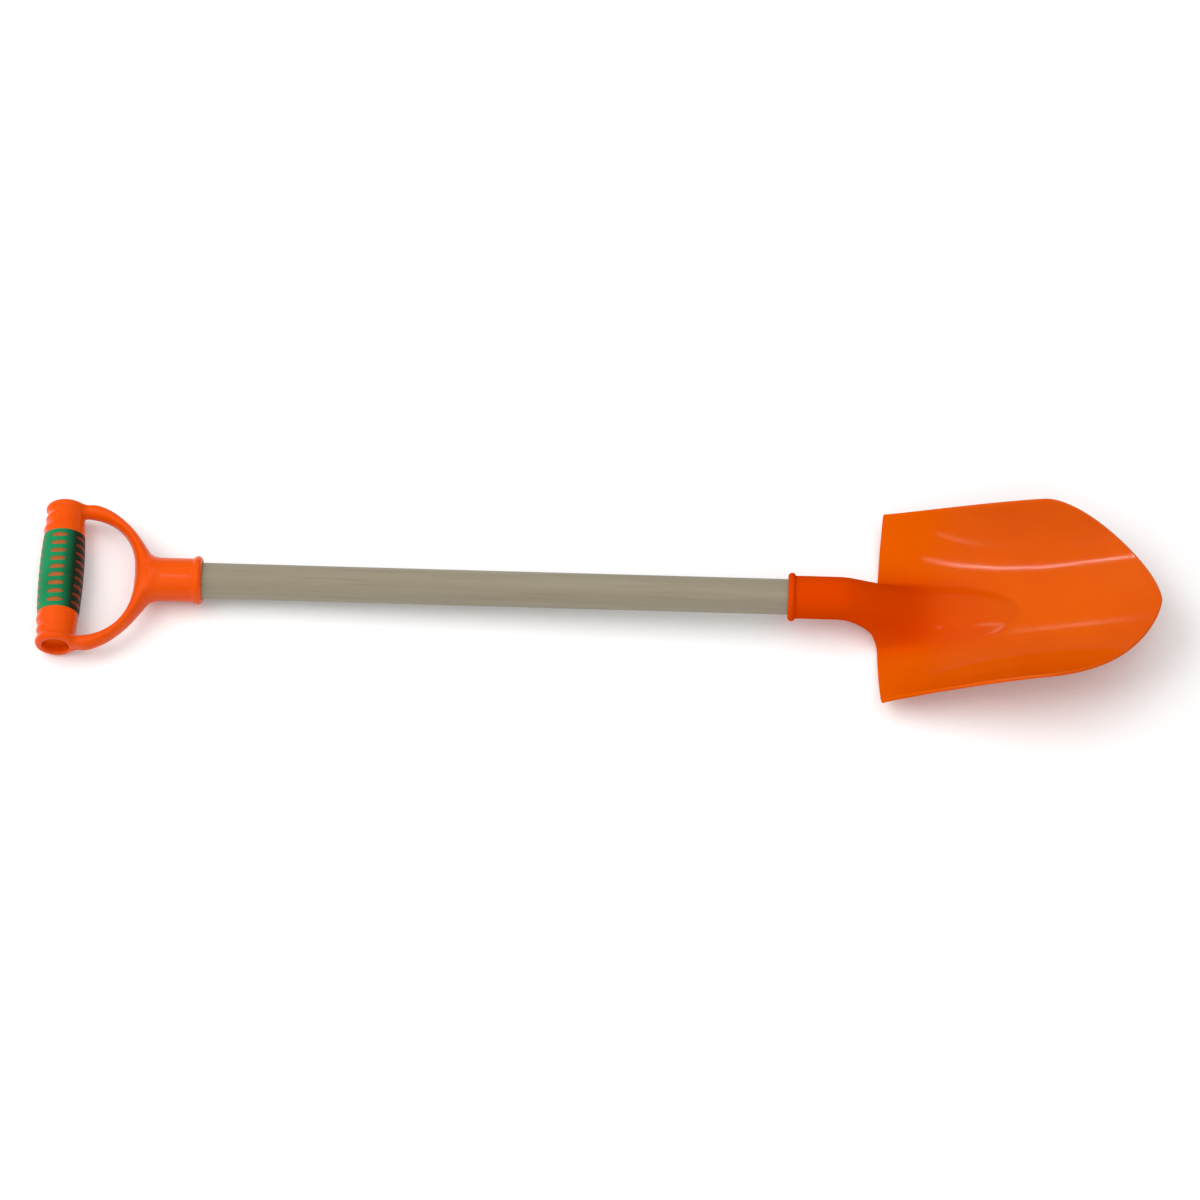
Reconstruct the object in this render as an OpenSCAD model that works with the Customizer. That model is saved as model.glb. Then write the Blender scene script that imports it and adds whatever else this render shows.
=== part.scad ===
// Child's sand shovel: a moulded blade and a moulded D handle on a wooden shaft.
// The shovel lies on its back, hollow side up, with the blade towards +X.
// Every piece is drawn along the shaft's own axis and then laid on the ground.

/* [Shaft] */
// Diameter of the wooden dowel
shaft_d = 25; // [20:0.5:30]
// Length of the dowel, with both ends inside their sockets
shaft_l = 478; // [360:1:700]
// Chamfer on each end of the dowel
shaft_chamfer = 1; // [0.5:0.1:2]

/* [Blade socket] */
// Depth that the dowel goes into the blade
socket_depth = 38; // [28:1:48]
// Wall of the blade's socket
socket_wall = 2.4; // [1.8:0.1:4]
// Height of the bead round the socket's mouth
socket_bead_h = 2; // [1:0.1:4]
// Width of the bead round the socket's mouth
socket_bead_w = 5.2; // [3:0.1:8]
// Length of the neck that bends from the socket into the blade
neck_l = 27.5; // [18:0.5:40]

/* [Blade] */
// Length of the blade from the tread to the tip
blade_l = 194.5; // [160:0.5:240]
// Width across the tread's corners
tread_w = 150.5; // [120:0.5:180]
// Width across the shoulders, where the point begins
shoulder_w = 140; // [116:0.5:176]
// Wall of the blade
blade_t = 2.6; // [1.8:0.1:4]
// Length of the curved point, from the shoulders to the tip
point_l = 81.5; // [60:0.5:120]
// How far the tread's middle lies below the shaft's axis
heel_drop = 25.5; // [18:0.5:34]
// How far the tip lies above the shaft's axis
tip_rise = 12.5; // [5:0.5:25]
// Height of the sides at the shoulders
dish_depth = 35; // [20:0.5:45]
// Height of the sides at the tread
tread_dish = 12.5; // [4:0.5:20]
// Distance from the tread to the deepest section
dish_at = 112; // [80:1:130]
// How far the tread bows towards the grip at its middle
tread_bow = 3; // [0:0.5:8]

/* [Frog] */
// Length of the raised ridge from the tread to its nose
frog_l = 96; // [60:1:120]
// Half width of the ridge where it crosses the tread
frog_flare = 28; // [22:0.5:36]
// Height of the ridge past the neck
frog_h = 8; // [4:0.5:12]
// Length past the tread in which the neck comes down to the ridge
plunge_l = 46; // [30:1:60]

/* [Handle ferrule] */
// Depth that the dowel goes into the handle
ferrule_depth = 30; // [22:1:34]
// Wall of the handle's ferrule
ferrule_wall = 2.7; // [1.8:0.1:4]
// Height of the bead round the ferrule's mouth
ferrule_bead_h = 1.8; // [1:0.1:4]
// Width of the bead round the ferrule's mouth
ferrule_bead_w = 6.4; // [4:0.1:9]
// Solid wall between the end of the dowel and the hand opening
crotch_wall = 17.5; // [12:0.5:26]

/* [D yoke] */
// Distance from the grip's axis to the far end of the hand opening
opening_l = 51.5; // [44:0.5:70]
// Width of the hand opening along the grip
opening_w = 96; // [88:1:110]
// Width of an arm where it meets the grip
arm_root_w = 11; // [8:0.5:14]
// Width of an arm at its slimmest
arm_slim_w = 7; // [5:0.5:10]
// Height of an arm
arm_h = 12.8; // [9:0.2:18]

/* [Grip] */
// Length of the grip over its two rims
grip_l = 112; // [106:1:140]
// Diameter of the grip at its middle
grip_mid_d = 31; // [28:0.5:38]
// Diameter of the grip next to its rims
grip_end_d = 25.6; // [23:0.2:27.6]
// Diameter of the rims
rim_d = 28.8; // [28:0.2:34]
// Width of each rim
rim_w = 6; // [4:0.5:8]
// Diameter of the hollow in each end
hollow_d = 19; // [12:0.5:20]
// Depth of the hollow in each end
hollow_depth = 6; // [3:0.5:14]

/* [Soft sleeve] */
// Length of the soft sleeve
sleeve_l = 62; // [50:1:68]
// Thickness of the soft sleeve
sleeve_t = 1.8; // [1.2:0.1:2.6]
// Ribs in a row along the grip
ribs_in_row = 9; // [5:1:9]
// Rows of ribs round the grip
rib_rows = 5; // [3:1:6]
// Turn of the rows away from the top of the grip, in degrees
rib_turn = -7.5; // [-15:0.5:15]
// Length of a rib round the grip
rib_len = 12; // [8:0.5:13]
// Width of a rib along the grip
rib_w = 3.2; // [2:0.1:3.6]
// Distance from one rib to the next
rib_pitch = 6.5; // [5.6:0.1:6.8]

/* [Fixing screws] */
// Diameter of a screw's shank
screw_d = 3.5; // [2.5:0.1:4.5]
// Diameter of a screw's countersunk head
screw_head_d = 7; // [5.5:0.1:9]
// Length of a screw over its head
screw_l = 16; // [10:0.5:20]

/* [Hidden] */
$fn = 64;

orange = [0.97, 0.38, 0.03];
green = [0.06, 0.52, 0.30];
wood = [0.72, 0.67, 0.57];
steel = [0.72, 0.73, 0.75];

// Clearances between pieces
fit_gap = 0.1;
seat_gap = 0.3;
overrun = 1;

// Radii and places along the shaft, from the dowel's grip end at x = 0
shaft_r = shaft_d / 2;
bore_r = shaft_r + fit_gap;
socket_r = bore_r + socket_wall;
ferrule_r = bore_r + ferrule_wall;
socket_mouth = shaft_l - socket_depth;
neck_x = shaft_l + seat_gap;
tread_x = neck_x + neck_l;
tip_x = tread_x + blade_l;
ferrule_mouth = ferrule_depth;
crotch_x = -seat_gap - crotch_wall;
grip_x = crotch_x - opening_l;

// Resting pose: the belly or the rims of the grip and the heel of the blade touch the ground
rim_r = rim_d / 2;
rest_r = max(rim_r, grip_mid_d / 2);
heel_low = heel_drop + blade_t;
heel_run = tread_x - tread_bow - grip_x;
rest_tilt = atan2(heel_low, heel_run) - asin(rest_r / norm([heel_low, heel_run]));
rest_lift = rest_r - grip_x * sin(rest_tilt);
middle_x = ((grip_x + tip_x) * cos(rest_tilt) - tip_rise * sin(rest_tilt) - rest_r) / 2;

// Turns the shaft's frame so that the shovel lies on the ground, centred on the origin
module resting() {
    translate([-middle_x, 0, rest_lift]) rotate([0, -rest_tilt, 0]) children();
}

// Turns a solid that stands on z so that it lies along +X from x
module along_x(x) {
    translate([x, 0, 0]) rotate([0, 90, 0]) children();
}

// Turns a solid that stands on z so that it lies along the grip
module along_grip() {
    translate([grip_x, 0, 0]) rotate([-90, 0, 0]) children();
}

// Common easing and blending
function smooth(q) = let (c = min(1, max(0, q))) c * c * (3 - 2 * c);
function mix(a, b, q) = a + (b - a) * q;

// A tube with a rounded bead at its mouth; the mouth is at z = 0 and the tube goes up z
module beaded_tube(r, l, bead_h, bead_w) {
    translate([0, 0, bead_w / 2]) cylinder(r = r, h = l - bead_w / 2);
    translate([0, 0, bead_w / 2]) rotate_extrude()
        translate([r + bead_h - bead_w / 2, 0]) circle(d = bead_w);
}

// A countersunk screw whose head is at z = 0; the room widens it into its own hole
module screw_shape(room) {
    head_r = screw_head_d / 2 + room;
    shank_r = screw_d / 2 + room;
    cylinder(r1 = head_r, r2 = shank_r, h = head_r - shank_r);
    cylinder(r = shank_r, h = screw_l + room);
}

// Places a screw upwards through the underside of a tube of radius r at x
screw_sink = screw_head_d * screw_head_d / (8 * socket_r);
module screw_place(x, r) {
    translate([x, 0, screw_sink - r]) children();
}

// Room below a sunk screw head, so that its hole runs out through the tube
module screw_hole() {
    screw_shape(fit_gap);
    translate([0, 0, -2 * screw_sink]) cylinder(d = screw_head_d + 2 * fit_gap, h = 2 * screw_sink);
}
blade_screw_x = socket_mouth + socket_depth / 2;
handle_screw_x = ferrule_mouth / 2;

// Blade outline: half width at a distance t from the tread
shoulder_t = blade_l - point_l;
point_powers = [1.6, 0.62];
side_power = 0.6;
function side_line(t) = mix(tread_w, shoulder_w, pow(min(1, t / shoulder_t), side_power)) / 2;
function point_line(u) = pow(1 - pow(max(0, u), point_powers[0]), point_powers[1]);
function half_width(t) = side_line(t) * point_line((t - shoulder_t) / point_l);

// Blade surface: heights above the shaft's axis at a distance t from the tread and y from the middle
lift_share = 0.42;
section_power = 2.8;
deepening_power = 1.5;
function middle_z(t) = let (q = t / blade_l)
    -heel_drop + (heel_drop + tip_rise) * (lift_share * q + (1 - lift_share) * q * q);
function dish_height(t) = mix(dish_depth, tread_dish, pow(max(0, 1 - t / dish_at), deepening_power));
function dish_z(t, y) = middle_z(t) + dish_height(t) * pow(2 * abs(y) / shoulder_w, section_power);

// Ridge on the blade: the neck comes down onto it in one S-curve that begins at the socket
neck_lap = 3;
neck_run = neck_l + neck_lap - tread_bow;
tread_share = neck_run / (neck_run + plunge_l);
nose_powers = [3, 0.75];
plan_powers = [3, 0.5];
function nose(t, powers) = pow(max(0, 1 - pow(t / frog_l, powers[0])), powers[1]);
function descent(t) = smooth(mix(tread_share, 1, t / plunge_l));
function crest(t) = (socket_r + heel_drop - frog_h) * (1 - descent(t)) + frog_h * nose(t, nose_powers);
function frog_half(t) = frog_flare * nose(t, plan_powers);
function bell(q) = pow(max(0, 1 - q * q * q), 2);
function ridge(t, y) = t >= frog_l ? 0 : crest(t) * bell(abs(y) / frog_half(t));

// Front of the blade, and the back, which is hollow behind the ridge
hollow_share = 0.9;
hollow_start = plunge_l / 2;
function front_z(t, y) = dish_z(t, y) + ridge(t, y);
function back_base_z(t, y) = dish_z(t, y) + hollow_share * smooth(t / hollow_start) * ridge(t, y);

// Back points lie one wall under the back's base, square to it
probe = 0.5;
function back_point(x, t, y) = let (
        dx = (back_base_z(t + probe, y) - back_base_z(t, y)) / probe,
        dy = (back_base_z(t, y + probe) - back_base_z(t, y - probe)) / (2 * probe),
        n = [dx, dy, -1] / norm([dx, dy, -1]))
    [x, y, back_base_z(t, y)] + blade_t * n;

// Blade grid: stations from the tread to the tip, and lines across
blade_steps = 34;
crowding = 1.7;
bow_power = 4;
inner_lines = 9;
outer_lines = 9;
lines = inner_lines + outer_lines;
tip_land = 5;
tip_end = shoulder_t
    + point_l * pow(1 - pow(tip_land / shoulder_w, 1 / point_powers[1]), 1 / point_powers[0]);
flare_share = 2 * frog_flare / tread_w;
function station(i) = tip_end * (1 - pow(1 - i / blade_steps, crowding));
function line_share(j) = let (a = abs(j)) sign(j) * (a <= inner_lines
    ? flare_share * a / inner_lines
    : mix(flare_share, 1, (a - inner_lines) / outer_lines));
function grid_x(i, j) = let (t = station(i), s = line_share(j))
    tread_x + t - tread_bow * (1 - s * s) * pow(1 - t / blade_l, bow_power);
function grid_y(i, j) = line_share(j) * half_width(station(i));
function front_point(i, j) = [grid_x(i, j), grid_y(i, j), front_z(station(i), grid_y(i, j))];
function rear_point(i, j) = back_point(grid_x(i, j), station(i), grid_y(i, j));

// Neck grid: sections that pass from the socket's round end to the tread
neck_steps = 9;
neck_swell = 0.35;
side_angle = 80;
edge_power = 4;
function neck_r(k) = socket_r + (k == 0 ? -neck_swell : neck_swell);
function neck_y(k, j) = let (q = k / neck_steps)
    mix(neck_r(k) * sin(side_angle * j / inner_lines), grid_y(0, j), 1 - sqrt(1 - q * q));

// Top of the neck at y: the round section passes into the ridge's, on the S-curve's height
function neck_top(k, y) = let (
        q = k / neck_steps,
        r = neck_r(k),
        height = heel_drop + mix(r, front_z(0, 0), smooth(q * tread_share) / smooth(tread_share)),
        round = height * (sqrt(max(0, r * r - y * y)) + heel_drop) / (r + heel_drop) - heel_drop,
        ridged = dish_z(0, y) + height * bell(abs(y) / frog_flare))
    mix(round, ridged, smooth(q));

// Underside of the neck, from the socket's round to the back of the tread
function neck_foot(k, j) = let (q = k / neck_steps)
    mix(-neck_r(k) * cos(side_angle * j / inner_lines), rear_point(0, j).z,
        mix(smooth(q), pow(q, edge_power), pow(j / inner_lines, 2)));
function neck_section(k, j, up) = let (y = neck_y(k, j))
    [mix(neck_x - neck_lap, grid_x(0, j), k / neck_steps), y, up ? neck_top(k, y) : neck_foot(k, j)];

// Point numbers in the blade's net
blade_row = 2 * lines + 1;
neck_row = 2 * inner_lines + 1;
sheet = (blade_steps + 1) * blade_row;
function front_id(i, j) = i * blade_row + j + lines;
function rear_id(i, j) = sheet + front_id(i, j);
function neck_id(k, j, up) = k == neck_steps ? (up ? front_id(0, j) : rear_id(0, j))
    : 2 * sheet + (up ? 0 : neck_steps * neck_row) + k * neck_row + j + inner_lines;

// The edge, once round the neck and blade
edge_path = concat(
    [for (j = [-inner_lines : inner_lines]) [0, j, true]],
    [for (k = [1 : neck_steps - 1]) [k, inner_lines, true]],
    [for (j = [inner_lines : lines]) [0, j, false]],
    [for (i = [1 : blade_steps]) [i, lines, false]],
    [for (j = [lines - 1 : -1 : -lines]) [blade_steps, j, false]],
    [for (i = [blade_steps - 1 : -1 : 0]) [i, -lines, false]],
    [for (j = [-lines + 1 : -inner_lines]) [0, j, false]],
    [for (k = [neck_steps - 1 : -1 : 1]) [k, -inner_lines, true]]);
function edge_id(p, up) = p[2] ? neck_id(p[0], p[1], up) : up ? front_id(p[0], p[1]) : rear_id(p[0], p[1]);

// Two triangles for each four-cornered patch
function patch(a, b, c, d) = [[a, b, c], [a, c, d]];
function flat(lists) = [for (one = lists) for (item = one) item];

// The blade's sheet, its ridge and its neck as one closed net
module blade_sheet() {
    points = concat(
        [for (i = [0 : blade_steps]) for (j = [-lines : lines]) front_point(i, j)],
        [for (i = [0 : blade_steps]) for (j = [-lines : lines]) rear_point(i, j)],
        [for (k = [0 : neck_steps - 1]) for (j = [-inner_lines : inner_lines]) neck_section(k, j, true)],
        [for (k = [0 : neck_steps - 1]) for (j = [-inner_lines : inner_lines]) neck_section(k, j, false)]);
    fronts = flat([for (i = [0 : blade_steps - 1]) for (j = [-lines : lines - 1])
        patch(front_id(i, j), front_id(i, j + 1), front_id(i + 1, j + 1), front_id(i + 1, j))]);
    rears = flat([for (i = [0 : blade_steps - 1]) for (j = [-lines : lines - 1])
        patch(rear_id(i + 1, j), rear_id(i + 1, j + 1), rear_id(i, j + 1), rear_id(i, j))]);
    necks = flat([for (k = [0 : neck_steps - 1]) for (j = [-inner_lines : inner_lines - 1]) concat(
        patch(neck_id(k, j, true), neck_id(k, j + 1, true),
            neck_id(k + 1, j + 1, true), neck_id(k + 1, j, true)),
        patch(neck_id(k + 1, j, false), neck_id(k + 1, j + 1, false),
            neck_id(k, j + 1, false), neck_id(k, j, false)))]);
    around = len(edge_path);
    edges = flat([for (n = [0 : around - 1]) let (p = edge_path[n], q = edge_path[(n + 1) % around])
        patch(edge_id(q, true), edge_id(p, true), edge_id(p, false), edge_id(q, false))]);
    polyhedron(points, concat(fronts, rears, necks, edges));
}

module blade() {
    color(orange) resting() difference() {
        union() {
            along_x(socket_mouth)
                beaded_tube(socket_r, socket_depth + seat_gap, socket_bead_h, socket_bead_w);
            blade_sheet();
        }
        along_x(socket_mouth - overrun) cylinder(r = bore_r, h = socket_depth + seat_gap + overrun);
        screw_place(blade_screw_x, socket_r) screw_hole();
    }
}

module shaft() {
    color(wood) resting() difference() {
        along_x(0) {
            cylinder(r1 = shaft_r - shaft_chamfer, r2 = shaft_r, h = shaft_chamfer);
            translate([0, 0, shaft_chamfer]) cylinder(r = shaft_r, h = shaft_l - 2 * shaft_chamfer);
            translate([0, 0, shaft_l - shaft_chamfer])
                cylinder(r1 = shaft_r, r2 = shaft_r - shaft_chamfer, h = shaft_chamfer);
        }
        screw_place(blade_screw_x, socket_r) screw_shape(fit_gap);
        screw_place(handle_screw_x, ferrule_r) screw_shape(fit_gap);
    }
}

// Grip radius at a distance y from its middle: a barrel that ends at the rims
grip_half = grip_l / 2;
rim_at = grip_half - rim_w / 2;
barrel_half = grip_half - rim_w;
sleeve_half = sleeve_l / 2;
function barrel_r(y) = mix(grip_mid_d, grip_end_d, pow(abs(y) / barrel_half, 2)) / 2;

// Barrel profile between two heights, inset by depth, as points for a revolve
barrel_steps = 12;
function barrel_side(y0, y1, depth) = [for (i = [0 : barrel_steps])
    let (y = mix(y0, y1, i / barrel_steps)) [barrel_r(y) - depth, y]];

// The grip's core is sunk where the sleeve lies
core_profile = concat(
    [[0, -barrel_half]],
    barrel_side(-barrel_half, -sleeve_half - fit_gap, 0),
    barrel_side(-sleeve_half - fit_gap, sleeve_half + fit_gap, sleeve_t + fit_gap),
    barrel_side(sleeve_half + fit_gap, barrel_half, 0),
    [[0, barrel_half]]);

// Outline of one rib, an oval that comes to a narrow end
rib_points = 12;
module rib_outline(room) {
    polygon([for (i = [0 : rib_points - 1]) let (a = 360 * i / rib_points)
        [(rib_len / 2 + room) * cos(a), (rib_w / 2 + room) * sin(a)]]);
}

// All ribs as prisms that point outwards from the grip's axis
module rib_prisms(room) {
    along_grip() for (row = [0 : rib_rows - 1]) for (n = [0 : ribs_in_row - 1])
        rotate([0, 0, rib_turn + 360 * row / rib_rows])
            translate([0, 0, rib_pitch * (n - (ribs_in_row - 1) / 2)])
                rotate([90, 0, 0]) linear_extrude(grip_mid_d) rib_outline(room);
}

// A low ridge under the palm, on the outer side of the grip only
palm_ridge_share = 0.55;
palm_ridge_arc = 130;
palm_ridge_w = 5;
palm_ridge_rise = 0.7;
module palm_ridge(y) {
    translate([0, 0, y]) rotate([0, 0, 180 - palm_ridge_arc / 2]) rotate_extrude(angle = palm_ridge_arc)
        translate([barrel_r(y) + palm_ridge_rise - palm_ridge_w / 2, 0]) circle(d = palm_ridge_w);
}

// Core of the grip, with its rims, palm ridges and the ribs that stand in the sleeve's windows
module grip_core() {
    along_grip() {
        rotate_extrude() polygon(core_profile);
        for (end = [-1, 1]) {
            translate([0, 0, end * rim_at]) rotate_extrude()
                translate([rim_r - rim_w / 2, 0]) circle(d = rim_w);
            translate([0, 0, end * rim_at - rim_w / 2]) cylinder(r = rim_r - rim_w / 2, h = rim_w);
            for (place = [palm_ridge_share / 2, 1 - palm_ridge_share / 2])
                palm_ridge(end * mix(sleeve_half, barrel_half, place));
        }
    }
    intersection() {
        rib_prisms(0);
        along_grip() rotate_extrude() polygon(concat([[0, -sleeve_half]],
            barrel_side(-sleeve_half, sleeve_half, 0), [[0, sleeve_half]]));
    }
}

// Hand opening: a rounded D, as a point at the angle a from its far end
opening_power = 2.45;
opening_back_share = 0.16;
opening_base = opening_l * opening_back_share;
function power_part(v) = sign(v) * pow(abs(v), 2 / opening_power);
function opening_point(a) = [
    opening_base + (opening_l - opening_base) * power_part(cos(a)),
    opening_w / 2 * power_part(sin(a))];
function opening_normal(p) = let (
        x = (p.x - opening_base) / (opening_l - opening_base),
        y = 2 * p.y / opening_w,
        n = [pow(abs(x), opening_power - 1) / (opening_l - opening_base),
             sign(y) * pow(abs(y), opening_power - 1) * 2 / opening_w])
    n / norm(n);

// The yoke grows from the slim arms into the ferrule as it nears the shaft
yoke_pull_share = 1.3;
yoke_pull = ferrule_r * yoke_pull_share;
pull_power = 3;
height_power = 2;
function near_shaft(p) = max(0, 1 - 2 * abs(p.y) / opening_w);
function arm_w(a) = mix(arm_slim_w, arm_root_w, smooth(2 * abs(a) / 90 - 1));
function yoke_section(a, sides) = let (
        inner = opening_point(a),
        near = near_shaft(inner),
        outer = inner + arm_w(a) * opening_normal(inner) + [yoke_pull * pow(near, pull_power), 0],
        middle = (inner + outer) / 2,
        half = (outer - inner) / 2,
        height = mix(arm_h / 2, ferrule_r, pow(near, height_power)))
    [for (s = [0 : sides - 1]) let (f = 360 * s / sides)
        [grip_x + middle.x + half.x * cos(f), middle.y + half.y * cos(f), height * sin(f)]];

// The D yoke: one loft from one end of the grip round to the other
yoke_steps = 40;
yoke_sides = 18;
module yoke() {
    bends = [for (i = [0 : yoke_steps]) yoke_section(mix(-90, 90, i / yoke_steps), yoke_sides)];
    root = [-opening_base, 0, 0];
    rings = concat([[for (p = bends[0]) p + root]], bends, [[for (p = bends[yoke_steps]) p + root]]);
    last = len(rings) - 1;
    sides = flat([for (r = [0 : last - 1]) for (s = [0 : yoke_sides - 1]) let (n = (s + 1) % yoke_sides)
        patch(r * yoke_sides + s, r * yoke_sides + n, (r + 1) * yoke_sides + n, (r + 1) * yoke_sides + s)]);
    caps = [[for (s = [yoke_sides - 1 : -1 : 0]) s],
        [for (s = [0 : yoke_sides - 1]) last * yoke_sides + s]];
    polyhedron(flat(rings), concat(sides, caps));
}

plug_share = 0.35;
plug_l = plug_share * crotch_wall;
module handle_frame() {
    color(orange) resting() difference() {
        union() {
            along_x(ferrule_mouth) mirror([0, 0, 1])
                beaded_tube(ferrule_r, ferrule_depth + plug_l, ferrule_bead_h, ferrule_bead_w);
            yoke();
            grip_core();
        }
        along_x(-seat_gap) cylinder(r = bore_r, h = ferrule_depth + seat_gap + overrun);
        along_grip() for (end = [0, 1]) mirror([0, 0, end])
            translate([0, 0, grip_half - hollow_depth]) cylinder(d = hollow_d, h = hollow_depth + overrun);
        screw_place(handle_screw_x, ferrule_r) screw_hole();
    }
}

module grip_sleeve() {
    color(green) resting() difference() {
        along_grip() rotate_extrude() polygon(concat(
            barrel_side(-sleeve_half, sleeve_half, 0), barrel_side(sleeve_half, -sleeve_half, sleeve_t)));
        rib_prisms(fit_gap);
    }
}

module blade_screw() {
    color(steel) resting() screw_place(blade_screw_x, socket_r) screw_shape(0);
}

module handle_screw() {
    color(steel) resting() screw_place(handle_screw_x, ferrule_r) screw_shape(0);
}

blade();
shaft();
handle_frame();
grip_sleeve();
blade_screw();
handle_screw();
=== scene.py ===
"""Looks of a child's sand shovel: a moulded blade and D handle on a wooden shaft.

Every piece is drawn along the shaft's axis, in metres, and then laid on the
ground as the packed solids lie. The forms follow the same named sizes as the
solids, with rounded edges, fillets and finer surfaces.
"""
import math

import bmesh
import bpy
import numpy as np
from bpy.props import FloatProperty, FloatVectorProperty, IntProperty, PointerProperty
from bpy.types import Operator, Panel, PropertyGroup
from mathutils import Matrix, Vector


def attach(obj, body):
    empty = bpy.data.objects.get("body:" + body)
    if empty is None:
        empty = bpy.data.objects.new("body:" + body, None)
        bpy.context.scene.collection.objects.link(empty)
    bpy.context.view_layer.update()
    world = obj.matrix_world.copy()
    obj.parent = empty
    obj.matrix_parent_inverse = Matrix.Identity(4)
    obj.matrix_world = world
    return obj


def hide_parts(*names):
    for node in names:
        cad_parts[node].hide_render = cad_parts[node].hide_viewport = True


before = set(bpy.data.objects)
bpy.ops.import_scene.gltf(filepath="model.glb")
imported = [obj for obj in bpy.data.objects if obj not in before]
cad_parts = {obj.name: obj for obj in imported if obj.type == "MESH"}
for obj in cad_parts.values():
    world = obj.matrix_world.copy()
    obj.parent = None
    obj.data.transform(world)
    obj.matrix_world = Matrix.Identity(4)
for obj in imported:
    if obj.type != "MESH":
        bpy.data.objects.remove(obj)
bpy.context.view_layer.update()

bl_info = {
    "name": "Sand shovel",
    "version": (1, 0, 0),
    "blender": (4, 5, 0),
    "location": "3D View > Sidebar > Shovel",
    "description": "Builds a child's sand shovel and its stage",
    "category": "Add Mesh",
}

BODY = "root"


def length(label, metres, about):
    """A length for the sidebar, in the scene's units."""
    return FloatProperty(name=label, description=about, default=metres, min=0.0,
                         precision=4, unit="LENGTH", subtype="DISTANCE")


def turn(label, degrees, about):
    """An angle for the sidebar."""
    return FloatProperty(name=label, description=about, default=math.radians(degrees),
                         unit="ROTATION", subtype="ANGLE")


def power(label, watts, about):
    """A lamp's power for the sidebar."""
    return FloatProperty(name=label, description=about, default=watts, min=0.0, unit="POWER")


def tint(label, red, green, blue, about):
    """A colour for the sidebar, given as display values from 0 to 255."""
    return FloatVectorProperty(name=label, description=about, size=3, min=0.0, max=1.0,
                               default=[linear(v) for v in (red, green, blue)], subtype="COLOR")


def count(label, number, about):
    """A whole number for the sidebar."""
    return IntProperty(name=label, description=about, default=number, min=1)


def linear(value):
    """A display value from 0 to 255 as linear light."""
    v = value / 255
    return v / 12.92 if v <= 0.04045 else ((v + 0.055) / 1.055) ** 2.4


class ShovelShaft(PropertyGroup):
    """Sizes and colours of the wooden dowel"""
    diameter: length("Diameter", 0.025, "Diameter of the dowel")
    length: length("Length", 0.478, "Length of the dowel with both hidden ends")
    chamfer: length("Chamfer", 0.001, "Chamfer on each end of the dowel")
    fit_gap: length("Fit gap", 0.0001, "Clearance between the dowel and its sockets")
    seat_gap: length("Seat gap", 0.0003, "Clearance at the end of the dowel")
    pale: tint("Pale wood", 147, 139, 119, "Colour of the early wood")
    deep: tint("Deep wood", 127, 117, 96, "Colour of the late wood")
    streak: tint("Streak", 118, 100, 75, "Colour of the fine streaks and pores")


class ShovelBlade(PropertyGroup):
    """Sizes and colours of the blade, its frog, neck and socket"""
    socket_depth: length("Socket depth", 0.038, "How far the dowel goes into the blade")
    socket_wall: length("Socket wall", 0.0024, "Wall of the socket")
    bead_height: length("Bead height", 0.002, "Height of the bead round the mouth")
    bead_width: length("Bead width", 0.0052, "Width of the bead round the mouth")
    neck_length: length("Neck length", 0.0275, "Length of the neck before the tread")
    length: length("Length", 0.1945, "Length from the tread to the tip")
    tread_width: length("Tread width", 0.1505, "Width across the tread's corners")
    shoulder_width: length("Shoulder width", 0.140, "Width where the point begins")
    wall: length("Wall", 0.0026, "Thickness of the blade")
    point_length: length("Point length", 0.0815, "Length of the curved point")
    heel_drop: length("Heel drop", 0.0255, "Depth of the tread's middle under the shaft's axis")
    tip_rise: length("Tip rise", 0.0125, "Height of the tip over the shaft's axis")
    dish_depth: length("Dish depth", 0.035, "Height of the sides at the shoulders")
    tread_dish: length("Tread dish", 0.0125, "Height of the sides at the tread")
    dish_at: length("Dish place", 0.112, "Distance from the tread to the deepest section")
    tread_bow: length("Tread bow", 0.003, "How far the tread bows towards the grip")
    frog_length: length("Frog length", 0.096, "Length of the raised ridge")
    frog_flare: length("Frog flare", 0.028, "Half width of the ridge at the tread")
    frog_height: length("Frog height", 0.008, "Height of the ridge past the neck")
    plunge: length("Plunge", 0.046, "Length past the tread in which the neck comes down")
    edge_round: length("Edge round", 0.0008, "How far the rounded edge stands out")
    colour: tint("Plastic", 209, 84, 0, "Colour of the blade's plastic")
    deep: tint("Plastic in depth", 204, 78, 0, "Colour of the plastic's cloudy variation")
    # Painted shade: the thicker neck and frog get a deeper, redder colour that also stands in for their
    # shade
    shaded: tint("Thick plastic", 203, 61, 0, "Colour where the plastic is thick, at the neck and frog")


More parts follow.
